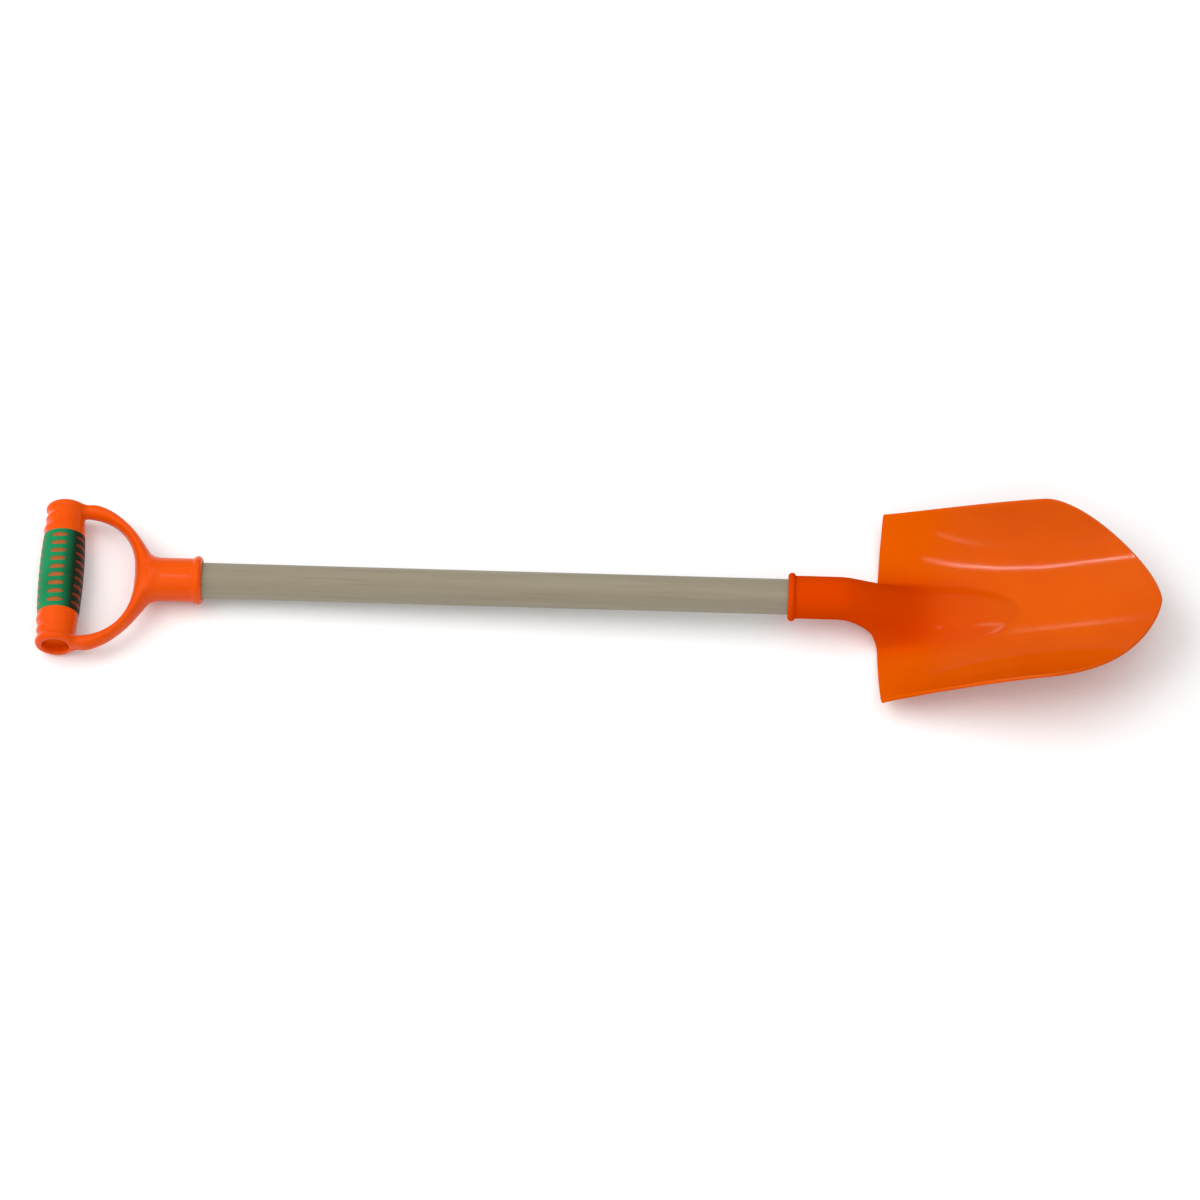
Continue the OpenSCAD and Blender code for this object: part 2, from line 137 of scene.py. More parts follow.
class ShovelHandle(PropertyGroup):
    """Sizes and colours of the D handle"""
    ferrule_depth: length("Ferrule depth", 0.030, "How far the dowel goes into the handle")
    ferrule_wall: length("Ferrule wall", 0.0027, "Wall of the ferrule")
    bead_height: length("Bead height", 0.0018, "Height of the bead round the mouth")
    bead_width: length("Bead width", 0.0064, "Width of the bead round the mouth")
    crotch_wall: length("Crotch wall", 0.0175, "Solid wall between dowel and hand opening")
    opening_length: length("Opening length", 0.0515, "From the grip's axis to the far end")
    opening_width: length("Opening width", 0.096, "Width of the hand opening")
    arm_root: length("Arm root", 0.011, "Width of an arm where it meets the grip")
    arm_slim: length("Arm middle", 0.007, "Width of an arm at its slimmest")
    arm_height: length("Arm height", 0.0128, "Height of an arm")
    grip_length: length("Grip length", 0.112, "Length of the grip over its rims")
    grip_middle: length("Grip middle", 0.031, "Diameter of the grip at its middle")
    grip_end: length("Grip end", 0.0256, "Diameter of the grip next to its rims")
    rim_diameter: length("Rim diameter", 0.0288, "Diameter of the rims")
    rim_width: length("Rim width", 0.006, "Width of each rim")
    hollow_diameter: length("Hollow diameter", 0.019, "Diameter of the hollow in each end")
    hollow_depth: length("Hollow depth", 0.006, "Depth of the hollow in each end")
    crotch_fillet: length("Crotch fillet", 0.005, "Fillet between the yoke and the ferrule")
    grip_fillet: length("Grip fillet", 0.003, "Fillet between the arms and the grip")
    small_fillet: length("Small fillet", 0.0012, "Fillet at the beads and rims")
    fineness: length("Fineness", 0.0007, "Spacing of the handle's surface points")
    colour: tint("Plastic", 221, 79, 0, "Colour of the handle's plastic")
    deep: tint("Plastic in depth", 214, 70, 0, "Colour of the plastic's cloudy variation")


class ShovelSleeve(PropertyGroup):
    """Sizes and colours of the soft sleeve and the ribs that stand in it"""
    length: length("Length", 0.062, "Length of the soft sleeve")
    thickness: length("Thickness", 0.0018, "Thickness of the soft sleeve")
    ribs: count("Ribs", 9, "Ribs in a row along the grip")
    rows: count("Rows", 5, "Rows of ribs round the grip")
    row_turn: turn("Row turn", -7.5, "Turn of the rows away from the top of the grip")
    rib_length: length("Rib length", 0.012, "Length of a rib round the grip")
    rib_width: length("Rib width", 0.0032, "Width of a rib along the grip")
    rib_pitch: length("Rib pitch", 0.0065, "Distance from one rib to the next")
    rib_rise: length("Rib rise", 0.0003, "How far a rib stands above the sleeve")
    colour: tint("Sleeve", 6, 130, 80, "Colour of the soft sleeve")
    deep: tint("Sleeve in depth", 4, 114, 68, "Colour of the sleeve's cloudy variation")
    rib_colour: tint("Ribs", 160, 86, 34, "Colour of the ribs")
    # Painted shade: the sleeve and its ribs darken towards the grip's inner side, away from the key lamp
    painted_shade: tint("Grime", 8, 24, 10, "Colour of the sleeve where the fingers have darkened it")
    rib_painted_shade: tint("Ribs' grime", 116, 38, 12, "Colour of the ribs where the fingers have darkened them")


class ShovelScrews(PropertyGroup):
    """Sizes and colour of the two fixing screws"""
    shank: length("Shank", 0.0035, "Diameter of a screw's shank")
    head: length("Head", 0.007, "Diameter of a screw's countersunk head")
    length: length("Length", 0.016, "Length of a screw over its head")
    pitch: length("Pitch", 0.0016, "Pitch of the thread")
    colour: tint("Steel", 196, 198, 202, "Colour of the plated steel")


class ShovelStage(PropertyGroup):
    """Camera, light and floor"""
    azimuth: turn("Azimuth", 0.25, "Turn of the camera round the shovel")
    elevation: turn("Elevation", 60.65, "Height of the camera over the horizon")
    roll: turn("Roll", 2.44, "Roll of the camera")
    lens: FloatProperty(name="Lens", description="Focal length on a 36 mm sensor",
                        default=180.0, min=1.0, unit="CAMERA")
    distance: length("Distance", 4.2, "From the camera to the middle of the shovel")
    aim_height: length("Aim height", 0.022, "Height of the point the camera looks at")
    floor: tint("Floor", 246, 246, 246, "Colour of the floor")
    sky: FloatProperty(name="Room light", description="Strength of the light from all round",
                       default=0.36, min=0.0)
    key: power("Key", 75.0, "Power of the large lamp from the grip's side")
    top: power("Top", 43.0, "Power of the lamp overhead")
    fill: power("Fill", 23.0, "Power of the lamp behind the camera")
    tube: power("Tubes", 3.7, "Power of each long lamp that draws a line on the blade")


# Broad lamps: place, aim and size. Their powers are settings of the stage.
LAMPS = {
    "key": ((-2.2, 0.2, 2.2), (-0.1, 0, 0), (3.0, 3.0)),
    "top": ((0.2, 0.1, 2.8), (0, 0, 0), (4.0, 4.0)),
    "fill": ((0.4, -2.1, 2.0), (0.1, 0, 0), (3.0, 2.0)),
}

# Thin lamps that draw lines on the blade: both ends, and the share of the power of each
TUBES = (((-0.30, -0.20, 2.0), (-0.80, -0.44, 2.0), 1.0),
         ((-0.70, -1.38, 2.0), (-0.95, -1.56, 2.0), 0.22),
         ((-0.45, 1.70, 2.0), (-0.70, 1.62, 2.0), 0.13),
         ((0.20, -0.08, 2.0), (0.62, -0.34, 2.0), 0.55))
TUBE_WIDTH, TUBE_AIM = 0.02, (0.3, 0, 0.02)

# The camera's sensor in mm, its moves to the right and up, and how far it and the floor reach
SENSOR_WIDTH, SHIFT_RIGHT, SHIFT_UP, FAR_END, FLOOR_REACH = 36.0, 0.0009, -0.005, 50, 6

# The blade is dull at the tread: where that begins and ends to fade, and both degrees of shine
DULL_FROM, DULL_TO, DULL_SHINE, FULL_SHINE = 0.026, 0.058, 0.0, 0.16

# Shares of the frog's flare between which the colour passes from the thin sheet's to the thicker neck's
# and frog's, a deeper colour that is partly painted shade
UNSHADED_SHARE, FULL_SHADE_SHARE = 1.3, 0.6

# Roughness and shine of the handle, roughness of the ribs, and the darker shares of three colours
HANDLE_GLOSS, HANDLE_SHINE, RIB_GLOSS = 0.26, 0.14, 0.45
RIB_DEEP_SHARE, STEEL_DEEP_SHARE, FLOOR_DEEP_SHARE = 0.85, 0.72, 0.99

# Painted shade on the grip's inner side: the share of its radius in which it sets in, and how much there
# is at most
SHADE_REACH_SHARE, SHADE_SHARE = 0.6, 0.95

# Points closer than WELD are one, a cut leaves no face slimmer than SLIVER, TINY avoids a zero
WELD, SLIVER, TINY = 1e-6, 2e-6, 1e-9

# Angles between faces above which an edge is drawn sharp
SHARP, SCREW_SHARP = math.radians(38), math.radians(30)

# Directions of the shaft's frame: along the shaft, across it and up
ALONG, ACROSS, UP = np.eye(3)

GROUPS = {
    "shovel_shaft": ShovelShaft,
    "shovel_blade": ShovelBlade,
    "shovel_handle": ShovelHandle,
    "shovel_sleeve": ShovelSleeve,
    "shovel_screws": ShovelScrews,
    "shovel_stage": ShovelStage,
}


class Places:
    """Radii, places along the shaft and the resting pose, from the settings."""

    def __init__(self, scene):
        self.shaft, self.blade = scene.shovel_shaft, scene.shovel_blade
        self.handle, self.sleeve = scene.shovel_handle, scene.shovel_sleeve
        self.screws = scene.shovel_screws
        shaft, blade, handle = self.shaft, self.blade, self.handle
        self.shaft_r = shaft.diameter / 2
        self.bore_r = self.shaft_r + shaft.fit_gap
        self.socket_r = self.bore_r + blade.socket_wall
        self.ferrule_r = self.bore_r + handle.ferrule_wall
        self.socket_mouth = shaft.length - blade.socket_depth
        self.neck_x = shaft.length + shaft.seat_gap
        self.tread_x = self.neck_x + blade.neck_length
        self.grip_x = -shaft.seat_gap - handle.crotch_wall - handle.opening_length
        self.grip_half = handle.grip_length / 2
        self.barrel_half = self.grip_half - handle.rim_width
        self.sleeve_half = self.sleeve.length / 2
        # How deep a flat head sinks so that its rim stays inside the socket's round wall
        self.screw_sink = self.screws.head ** 2 / (8 * self.socket_r)
        self.rest = self.resting_pose()

    def resting_pose(self):
        """The turn and lift that put the grip's belly and the blade's heel on the ground."""
        blade, handle = self.blade, self.handle
        rest_r = max(handle.rim_diameter, handle.grip_middle) / 2
        low = blade.heel_drop + blade.wall
        run = self.tread_x - blade.tread_bow - self.grip_x
        tilt = math.atan2(low, run) - math.asin(rest_r / math.hypot(low, run))
        lift = rest_r - self.grip_x * math.sin(tilt)
        reach = (self.grip_x + self.tread_x + blade.length) * math.cos(tilt)
        middle = (reach - blade.tip_rise * math.sin(tilt) - rest_r) / 2
        return Matrix.Translation((-middle, 0, lift)) @ Matrix.Rotation(-tilt, 4, "Y")

    def barrel_r(self, y):
        """Radius of the grip at a distance from its middle."""
        share = (np.abs(y) / self.barrel_half) ** 2
        return mix(self.handle.grip_middle, self.handle.grip_end, share) / 2


def mix(a, b, q):
    """The value at a share q of the way from a to b."""
    return a + (b - a) * q


def ease(q):
    """A smooth step from 0 to 1."""
    c = np.clip(q, 0, 1)
    return c * c * (3 - 2 * c)


class Skin:
    """Grids of points that are welded into one mesh."""

    def __init__(self):
        self.points, self.faces, self.total = [], [], 0

    def grid(self, points, closed=False):
        """Rows of points, joined by quads; closed joins each row's end to its start."""
        points = np.asarray(points, float)
        rows, columns = points.shape[:2]
        ids = self.total + np.arange(rows * columns).reshape(rows, columns)
        if closed:
            ids = np.hstack([ids, ids[:, :1]])
        quads = np.stack([ids[:-1, :-1], ids[1:, :-1], ids[1:, 1:], ids[:-1, 1:]], -1)
        self.points.append(points.reshape(-1, 3))
        self.faces.extend(quads.reshape(-1, 4).tolist())
        self.total += rows * columns

    def cap(self, ring):
        """A fan of triangles that closes a ring."""
        ring = np.asarray(ring, float)
        self.points.append(np.vstack([ring, ring.mean(0)]))
        first, size = self.total, len(ring)
        self.faces.extend([first + i, first + (i + 1) % size, first + size] for i in range(size))
        self.total += size + 1

    def solid(self, rings):
        """Rings joined to a body that is closed at both ends."""
        self.grid(rings, closed=True)
        self.cap(rings[0])
        self.cap(rings[-1])

    def mesh(self, name, rest):
        """The welded mesh, moved to where it rests."""
        mesh = bpy.data.meshes.new(name)
        mesh.from_pydata(np.vstack(self.points).tolist(), [], self.faces)
        net = bmesh.new()
        net.from_mesh(mesh)
        bmesh.ops.remove_doubles(net, verts=net.verts, dist=WELD)
        bmesh.ops.recalc_face_normals(net, faces=net.faces)
        net.transform(rest)
        net.to_mesh(mesh)
        net.free()
        return mesh


def lathe(profile, angles, axis, side):
    """Rings round an axis, from pairs of place and radius; side is a quarter turn from the top."""
    place, radius = np.asarray(profile, float).T
    around = np.sin(angles)[:, None] * side + np.cos(angles)[:, None] * UP
    return radius[:, None, None] * around + place[:, None, None] * axis


def full_turn(steps):
    """Angles once round, without the last one that would meet the first."""
    return np.linspace(0, 2 * math.pi, steps, endpoint=False)


def add_piece(name, mesh, material, slot, *nodes, sharp=SHARP):
    """Puts a mesh in the scene as a piece that stands for its solids."""
    piece = bpy.data.objects.new(name, mesh)
    bpy.context.scene.collection.objects.link(piece)
    finish_piece(piece, material, sharp)
    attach(piece, BODY)
    if nodes:
        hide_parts(*nodes)
    return piece


def finish_piece(piece, material, sharp):
    """Gives a piece its material and smooth shading up to its sharp edges."""
    piece.data.materials.clear()
    piece.data.materials.append(material)
    piece.data.shade_smooth()
    piece.data.set_sharp_from_angle(angle=sharp)


def carve(mesh, cutter):
    """Cuts one mesh out of another and gives the result."""
    body = bpy.data.objects.new("carved", mesh)
    tool = bpy.data.objects.new("cutter", cutter)
    for one in (body, tool):
        bpy.context.scene.collection.objects.link(one)
    cut = body.modifiers.new("cut", "BOOLEAN")
    cut.operation, cut.solver, cut.object = "DIFFERENCE", "EXACT", tool
    graph = bpy.context.evaluated_depsgraph_get()
    result = bpy.data.meshes.new_from_object(body.evaluated_get(graph))
    for one in (body, tool):
        bpy.data.objects.remove(one)
    if len(result.vertices) == 0:
        raise RuntimeError("the cut left nothing of " + mesh.name)
    result.name = mesh.name
    drop_slivers(result)
    return result


def drop_slivers(mesh):
    """Takes out the faces without area that a cut leaves along a mesh's own lines."""
    net = bmesh.new()
    net.from_mesh(mesh)
    bmesh.ops.remove_doubles(net, verts=net.verts, dist=SLIVER)
    bmesh.ops.triangulate(net, faces=[face for face in net.faces if len(face.verts) > 4])
    bmesh.ops.dissolve_degenerate(net, edges=net.edges, dist=SLIVER)
    net.to_mesh(mesh)
    net.free()


class BladeForm:
    """Outline and heights of the blade in the shaft's frame."""

    # Powers and shares of the outline, the dish and the ridge, and steps that serve them all
    POINT_POWERS, SIDE_POWER, RIDGE_POWERS = (1.6, 0.62), 0.6, (3, 2)
    LIFT_SHARE, SECTION_POWER, DEEPENING_POWER = 0.42, 2.8, 1.5
    NOSE_POWERS, PLAN_POWERS, NECK_LAP = (3, 0.75), (3, 0.5), 0.003
    HOLLOW_SHARE, BOW_POWER, PROBE, LEAST_FLARE = 0.9, 4, 0.0005, 1e-6

    def __init__(self, places):
        self.b, self.places = places.blade, places
        self.shoulder_t = self.b.length - self.b.point_length
        self.neck_run = self.b.neck_length + self.NECK_LAP - self.b.tread_bow

    def half_width(self, t):
        """Half the blade's width at a distance t from the tread."""
        b = self.b
        share = np.clip(t / self.shoulder_t, 0, 1) ** self.SIDE_POWER
        side = mix(b.tread_width, b.shoulder_width, share) / 2
        reach = np.clip((t - self.shoulder_t) / b.point_length, 0, 1)
        return side * (1 - reach ** self.POINT_POWERS[0]) ** self.POINT_POWERS[1]

    def outline_t(self, y):
        """Distance from the tread at which the point's outline is y from the middle."""
        share = (2 * np.abs(y) / self.b.shoulder_width) ** (1 / self.POINT_POWERS[1])
        reach = np.clip(1 - share, 0, 1) ** (1 / self.POINT_POWERS[0])
        return self.shoulder_t + self.b.point_length * reach

    def dish_z(self, t, y):
        """Height of the dished sheet without its ridge."""
        b, q = self.b, t / self.b.length
        rise = self.LIFT_SHARE * q + (1 - self.LIFT_SHARE) * q * q
        fade = np.clip(1 - t / b.dish_at, 0, None) ** self.DEEPENING_POWER
        side = (2 * np.abs(y) / b.shoulder_width) ** self.SECTION_POWER
        middle = -b.heel_drop + (b.heel_drop + b.tip_rise) * rise
        return middle + mix(b.dish_depth, b.tread_dish, fade) * side

    def nose(self, t, powers):
        """A share that runs out roundly at the ridge's end."""
        run = np.clip(t, 0, None) / self.b.frog_length
        return np.clip(1 - run ** powers[0], 0, None) ** powers[1]

    def crest(self, t):
        """Height of the ridge, which the neck comes down onto in one S-curve from the socket."""
        b = self.b
        down = ease((self.neck_run + t) / (self.neck_run + b.plunge))
        full = self.places.socket_r + b.heel_drop - b.frog_height
        return full * (1 - down) + b.frog_height * self.nose(t, self.NOSE_POWERS)

    def ridge(self, t, y):
        """How far the ridge stands above the sheet."""
        half = np.maximum(self.b.frog_flare * self.nose(t, self.PLAN_POWERS), self.LEAST_FLARE)
        flank, foot = self.RIDGE_POWERS
        return self.crest(t) * np.clip(1 - (np.abs(y) / half) ** flank, 0, None) ** foot

    def neck_z(self, q, t, y):
        """Top of the neck: the round section passes into the ridge's as q goes from 0 to 1."""
        r, drop = self.places.socket_r, self.b.heel_drop
        arch = np.sqrt(np.clip(r * r - y * y, 0, None))
        return mix(self.crest(t) * (arch + drop) / (r + drop) - drop, self.front_z(t, y), ease(q))

    def front_z(self, t, y):
        """Height of the upper face."""
        return self.dish_z(t, y) + self.ridge(t, y)

    def back_base_z(self, t, y):
        """Height from which the wall is set off to the lower face, hollow under the ridge."""
        hollow = self.HOLLOW_SHARE * ease(t / (self.b.plunge / 2))
        return self.dish_z(t, y) + hollow * self.ridge(t, y)

    def front(self, x, t, y):
        """Points of the upper face."""
        return np.stack([x, y, self.front_z(t, y)], -1)

    def back(self, x, t, y):
        """Points of the lower face, one wall away from the upper one."""
        p = self.PROBE
        base = self.back_base_z(t, y)
        dx = (self.back_base_z(t + p, y) - base) / p
        dy = (self.back_base_z(t, y + p) - self.back_base_z(t, y - p)) / (2 * p)
        n = np.stack([dx, dy, -np.ones_like(dx)], -1)
        n /= np.linalg.norm(n, axis=-1, keepdims=True)
        return np.stack([x, y, base], -1) + self.b.wall * n


class BladeNet:
    """Grids of the blade, its neck and its socket, with matching borders."""

    # Stations along the blade, lines inside and outside the frog's flare, and the other steps
    STATIONS, CROWDING, INNER, OUTER = 100, 1.5, 24, 26
    NECK_STEPS, SIDE_ANGLE = 44, math.radians(80)
    EDGE_POWER, EDGE_STEPS, TIP_LAND, TIP_POWER = 4, 6, 0.012, 12
    BEAD_START, BEAD_END, BEAD_CLEAR_SHARE = math.radians(214), math.radians(12), 2.1
    BORE_STEPS, BEAD_STEPS, TUBE_STEPS = 8, 22, 16

    def __init__(self, places):
        self.places, self.b, self.form = places, places.blade, BladeForm(places)
        self.front, self.back = self.sheet()
        self.neck_top, self.neck_low = self.neck(True), self.neck(False)

    def sheet(self):
        """Upper and lower faces, with lines that run from the tread to the tip."""
        b, form, edge = self.b, self.form, self.b.edge_round
        lines = np.arange(-self.INNER - self.OUTER, self.INNER + self.OUTER + 1)
        flare = 2 * b.frog_flare / b.tread_width
        away = np.abs(lines)
        share = np.sign(lines) * np.where(away <= self.INNER, flare * away / self.INNER,
                                          mix(flare, 1, (away - self.INNER) / self.OUTER))
        last = float(form.outline_t(np.array(self.TIP_LAND / 2)))
        steps = np.linspace(0, 1, self.STATIONS + 1)
        t = edge + (last - 2 * edge) * (1 - (1 - steps) ** self.CROWDING)
        y = share[None, :] * (form.half_width(t + edge * steps) - edge)[:, None]
        tip = form.outline_t(np.abs(share) * self.TIP_LAND / 2) - last
        t = t[:, None] + tip[None, :] * (steps ** self.TIP_POWER)[:, None]
        bow = b.tread_bow * (1 - share ** 2)[None, :] * (1 - t / b.length) ** form.BOW_POWER
        x = self.places.tread_x + t - bow
        return form.front(x, t, y), form.back(x, t, y)

    def neck(self, up):
        """Upper or lower half of the neck, from the round socket to the tread."""
        middle = self.INNER + self.OUTER
        inner = slice(middle - self.INNER, middle + self.INNER + 1)
        end = (self.front if up else self.back)[0, inner]
        j = np.arange(-self.INNER, self.INNER + 1) / self.INNER
        a, bend = self.SIDE_ANGLE * j, j ** 2
        q = (1 - (1 - np.linspace(0, 1, self.NECK_STEPS + 1)) ** 2)[:, None]
        r = self.places.socket_r
        x = mix(self.places.neck_x - self.form.NECK_LAP, end[:, 0], q)
        y = mix(r * np.sin(a), end[:, 1], 1 - np.sqrt(1 - q ** 2))
        if up:
            z = self.form.neck_z(q, mix(-self.form.neck_run, self.b.edge_round, q), y)
        else:
            z = mix(-r * np.cos(a), end[:, 2], mix(ease(q), q ** self.EDGE_POWER, bend))
        return np.stack([x, y, z], -1)

    def border(self):
        """Top and bottom points once round the edge, and how far each is along the neck."""
        last = 2 * (self.INNER + self.OUTER)
        left, right = self.OUTER, last - self.OUTER

        def path(sheet, neck):
            return np.vstack([neck[:-1, -1], sheet[0, right:], sheet[1:, -1], sheet[-1, -2::-1],
                              sheet[-2::-1, 0], sheet[0, 1:left + 1], neck[-2::-1, 0]])
        neck = np.linspace(0, 1, self.NECK_STEPS + 1)[:-1]
        top = path(self.front, self.neck_top)
        along = np.ones(len(top))
        along[:len(neck)], along[-len(neck):] = neck, neck[::-1]
        return top, path(self.back, self.neck_low), along

    def edge(self):
        """Rounded edge: a strip of points from the front to the back all the way round."""
        top, low, along = self.border()
        middle = (top + low) / 2
        run = np.gradient(middle, axis=0)
        out = np.cross(top - low, run)
        out /= np.linalg.norm(out, axis=1, keepdims=True)
        r = self.places.socket_r
        sag = r * (1 - math.sin(self.SIDE_ANGLE))
        m = np.arange(self.EDGE_STEPS + 2) / (self.EDGE_STEPS + 1)
        m = m[None, :, None]
        half = ((top - low) / 2)[:, None]
        arc = middle[:, None] + half * (1 - 2 * m) + 4 * m * (1 - m) * sag * out[:, None]
        lip = middle[:, None] + half * np.cos(math.pi * m) \
            + np.sin(math.pi * m) * self.b.edge_round * out[:, None]
        strip = mix(arc, lip, (ease(along) ** 2)[:, None, None])
        strip[:, 0], strip[:, -1] = top, low
        return strip

    def socket(self, strip):
        """Rings from the seat of the bore, over the bead, to the start of the neck."""
        places, b = self.places, self.b
        mouth, bead = places.socket_mouth, b.bead_width / 2
        ring = np.vstack([self.neck_top[0], strip[0, 1:-1], self.neck_low[0, ::-1], strip[-1, -2:0:-1]])
        angles = np.arctan2(ring[:, 1], ring[:, 2])
        middle, height = mouth + bead, places.socket_r + b.bead_height - bead
        round_bead = [(middle + bead * math.cos(a), height + bead * math.sin(a))
                      for a in np.linspace(self.BEAD_START, self.BEAD_END, self.BEAD_STEPS)]
        start = places.neck_x - self.form.NECK_LAP
        clear = mouth + self.BEAD_CLEAR_SHARE * bead
        bore = [(x, places.bore_r) for x in np.linspace(places.neck_x, mouth + bead / 2, self.BORE_STEPS)]
        tube = [(x, places.socket_r) for x in np.linspace(clear, start, self.TUBE_STEPS)]
        rings = lathe(bore + round_bead + tube, angles, ALONG, ACROSS)
        rings[-1] = ring
        return rings

    def skin(self):
        """All grids of the blade as one closed skin."""
        skin = Skin()
        strip = self.edge()
        for part in (self.front, self.back, self.neck_top, self.neck_low, strip):
            skin.grid(part)
        rings = self.socket(strip)
        skin.grid(rings, closed=True)
        skin.cap(rings[0])
        return skin


class HandleField:
    """Signed distance to the D handle, with fillets where its forms meet."""

    # Powers and shares of the yoke, the palm ridges, small rounds, and the table of the plan
    OPENING_POWER, BACK_SHARE, PULL_SHARE = 2.45, 0.16, 1.3
    PULL_POWER, HEIGHT_POWER, PLUG_SHARE = 3, 2, 0.35
    RIDGE_SHARE, RIDGE_ARC, RIDGE_WIDTH, RIDGE_RISE = 0.55, math.radians(130), 0.0048, 0.0007
    RIDGE_POWER, SUNK_RAMP, END_SLOPE, BORE_ROUND, HOLLOW_ROUND = 1.5, 0.0016, 0.3, 0.0008, 0.0016
    TABLE_STEP, TABLE_BEFORE, TABLE_PAST, MARGIN = 0.0004, 0.022, 0.006, 0.0021
    SECTIONS, ROOT_SECTIONS = 420, 30

    def __init__(self, places):
        self.p, self.h = places, places.handle
        self.base = self.h.opening_length * self.BACK_SHARE
        self.make_table()

    def sections(self):
        """Middle, half width and height of the yoke's sections from the crotch to the grip."""
        h, p = self.h, self.OPENING_POWER
        a = np.linspace(0, math.pi / 2, self.SECTIONS)
        reach = h.opening_length - self.base
        inner = np.stack([self.base + reach * np.abs(np.cos(a)) ** (2 / p),
                          h.opening_width / 2 * np.abs(np.sin(a)) ** (2 / p)], -1)
        n = np.stack([np.abs((inner[:, 0] - self.base) / reach) ** (p - 1) / reach,
                      np.abs(2 * inner[:, 1] / h.opening_width) ** (p - 1) * 2 / h.opening_width], -1)
        n /= np.linalg.norm(n, axis=1, keepdims=True)
        near = np.clip(1 - 2 * inner[:, 1] / h.opening_width, 0, None)
        width = mix(h.arm_slim, h.arm_root, ease(4 * a / math.pi - 1))
        outer = inner + width[:, None] * n
        outer[:, 0] += self.p.ferrule_r * self.PULL_SHARE * near ** self.PULL_POWER
        height = mix(h.arm_height / 2, self.p.ferrule_r, near ** self.HEIGHT_POWER)
        root = np.linspace(0, self.base, self.ROOT_SECTIONS)[1:, None] * np.array([[-1.0, 0.0]])
        middle = np.vstack([(inner + outer) / 2, (inner + outer)[-1] / 2 + root])
        half = np.vstack([(outer - inner) / 2, np.repeat((outer - inner)[-1:] / 2, len(root), 0)])
        return middle, half, np.append(height, np.full(len(root), height[-1]))

    def make_table(self):
        """Where each point of the plan lies across its nearest section."""
        h = self.h
        middle, half, height = self.sections()
        far_x = h.opening_length + h.crotch_wall + h.ferrule_depth + self.TABLE_PAST
        far_y = h.opening_width / 2 + h.arm_root + self.TABLE_PAST
        xs = np.arange(-self.TABLE_BEFORE, far_x, self.TABLE_STEP)
        ys = np.arange(0, far_y, self.TABLE_STEP)
        size = (half ** 2).sum(1)
        self.table = np.zeros((len(xs), len(ys), 3))
        for i, x in enumerate(xs):
            rel = np.stack([np.full(len(ys), x), ys], -1)[:, None] - middle
            s = (rel * half).sum(-1) / size
            off = ((rel - s[..., None] * half) ** 2).sum(-1)
            cost = off + np.clip(np.abs(s) - 1, 0, None) ** 2 * size
            best = cost.argmin(1)
            rows = np.arange(len(ys))
            self.table[i] = np.stack([s[rows, best], np.sqrt(size[best]), height[best]], -1)
        self.origin = np.array([xs[0], ys[0]])

    def look_up(self, x, y):
        """Place across the section, its half width and its height, between the table's points."""
        u = (x - self.p.grip_x - self.origin[0]) / self.TABLE_STEP
        v = (np.abs(y) - self.origin[1]) / self.TABLE_STEP
        nu, nv = self.table.shape[:2]
        i = np.clip(u.astype(int), 0, nu - 2)
        j = np.clip(v.astype(int), 0, nv - 2)
        fu, fv = (np.clip(u - i, 0, 1)[..., None], np.clip(v - j, 0, 1)[..., None])
        t = self.table
        low, high = mix(t[i, j], t[i + 1, j], fu), mix(t[i, j + 1], t[i + 1, j + 1], fu)
        return mix(low, high, fv)

    def yoke(self, around, x, y, z):
        """Both arms and the crotch, cut off in line with the rims."""
        s, half, height = np.moveaxis(self.look_up(x, y), -1, 0)
        e = np.sqrt(s ** 2 + (z / height) ** 2) + TINY
        slope = np.sqrt((s / e / half) ** 2 + (z / height / e / height) ** 2) + TINY
        past_rim = np.clip(around - self.h.rim_diameter / 2, 0, None)
        end = (np.abs(y) - self.p.grip_half - self.END_SLOPE * past_rim) / math.hypot(1, self.END_SLOPE)
        arm = -join((1 - e) / slope, -end, self.h.grip_fillet)
        return np.maximum(arm, self.p.grip_x - x)

    def barrel(self, around, x, y, z):
        """Grip core, sunk where the sleeve lies, with low ridges under the palm."""
        p = self.p
        r = p.barrel_r(np.minimum(np.abs(y), p.barrel_half))
        depth = p.sleeve.thickness + p.shaft.fit_gap
        r = r - depth * ease((p.sleeve_half - np.abs(y)) / self.SUNK_RAMP)
        turned = np.arctan2(np.abs(z), p.grip_x - x)
        fade = ease((self.RIDGE_ARC / 2 - turned) / (self.RIDGE_ARC / 4) + 0.5)
        for place in (self.RIDGE_SHARE / 2, 1 - self.RIDGE_SHARE / 2):
            away = (np.abs(y) - mix(p.sleeve_half, p.barrel_half, place)) / (self.RIDGE_WIDTH / 2)
            r = r + self.RIDGE_RISE * fade * np.clip(1 - away ** 2, 0, None) ** self.RIDGE_POWER
        return np.maximum(around - r, np.abs(y) - (p.grip_half - self.h.rim_width / 2))

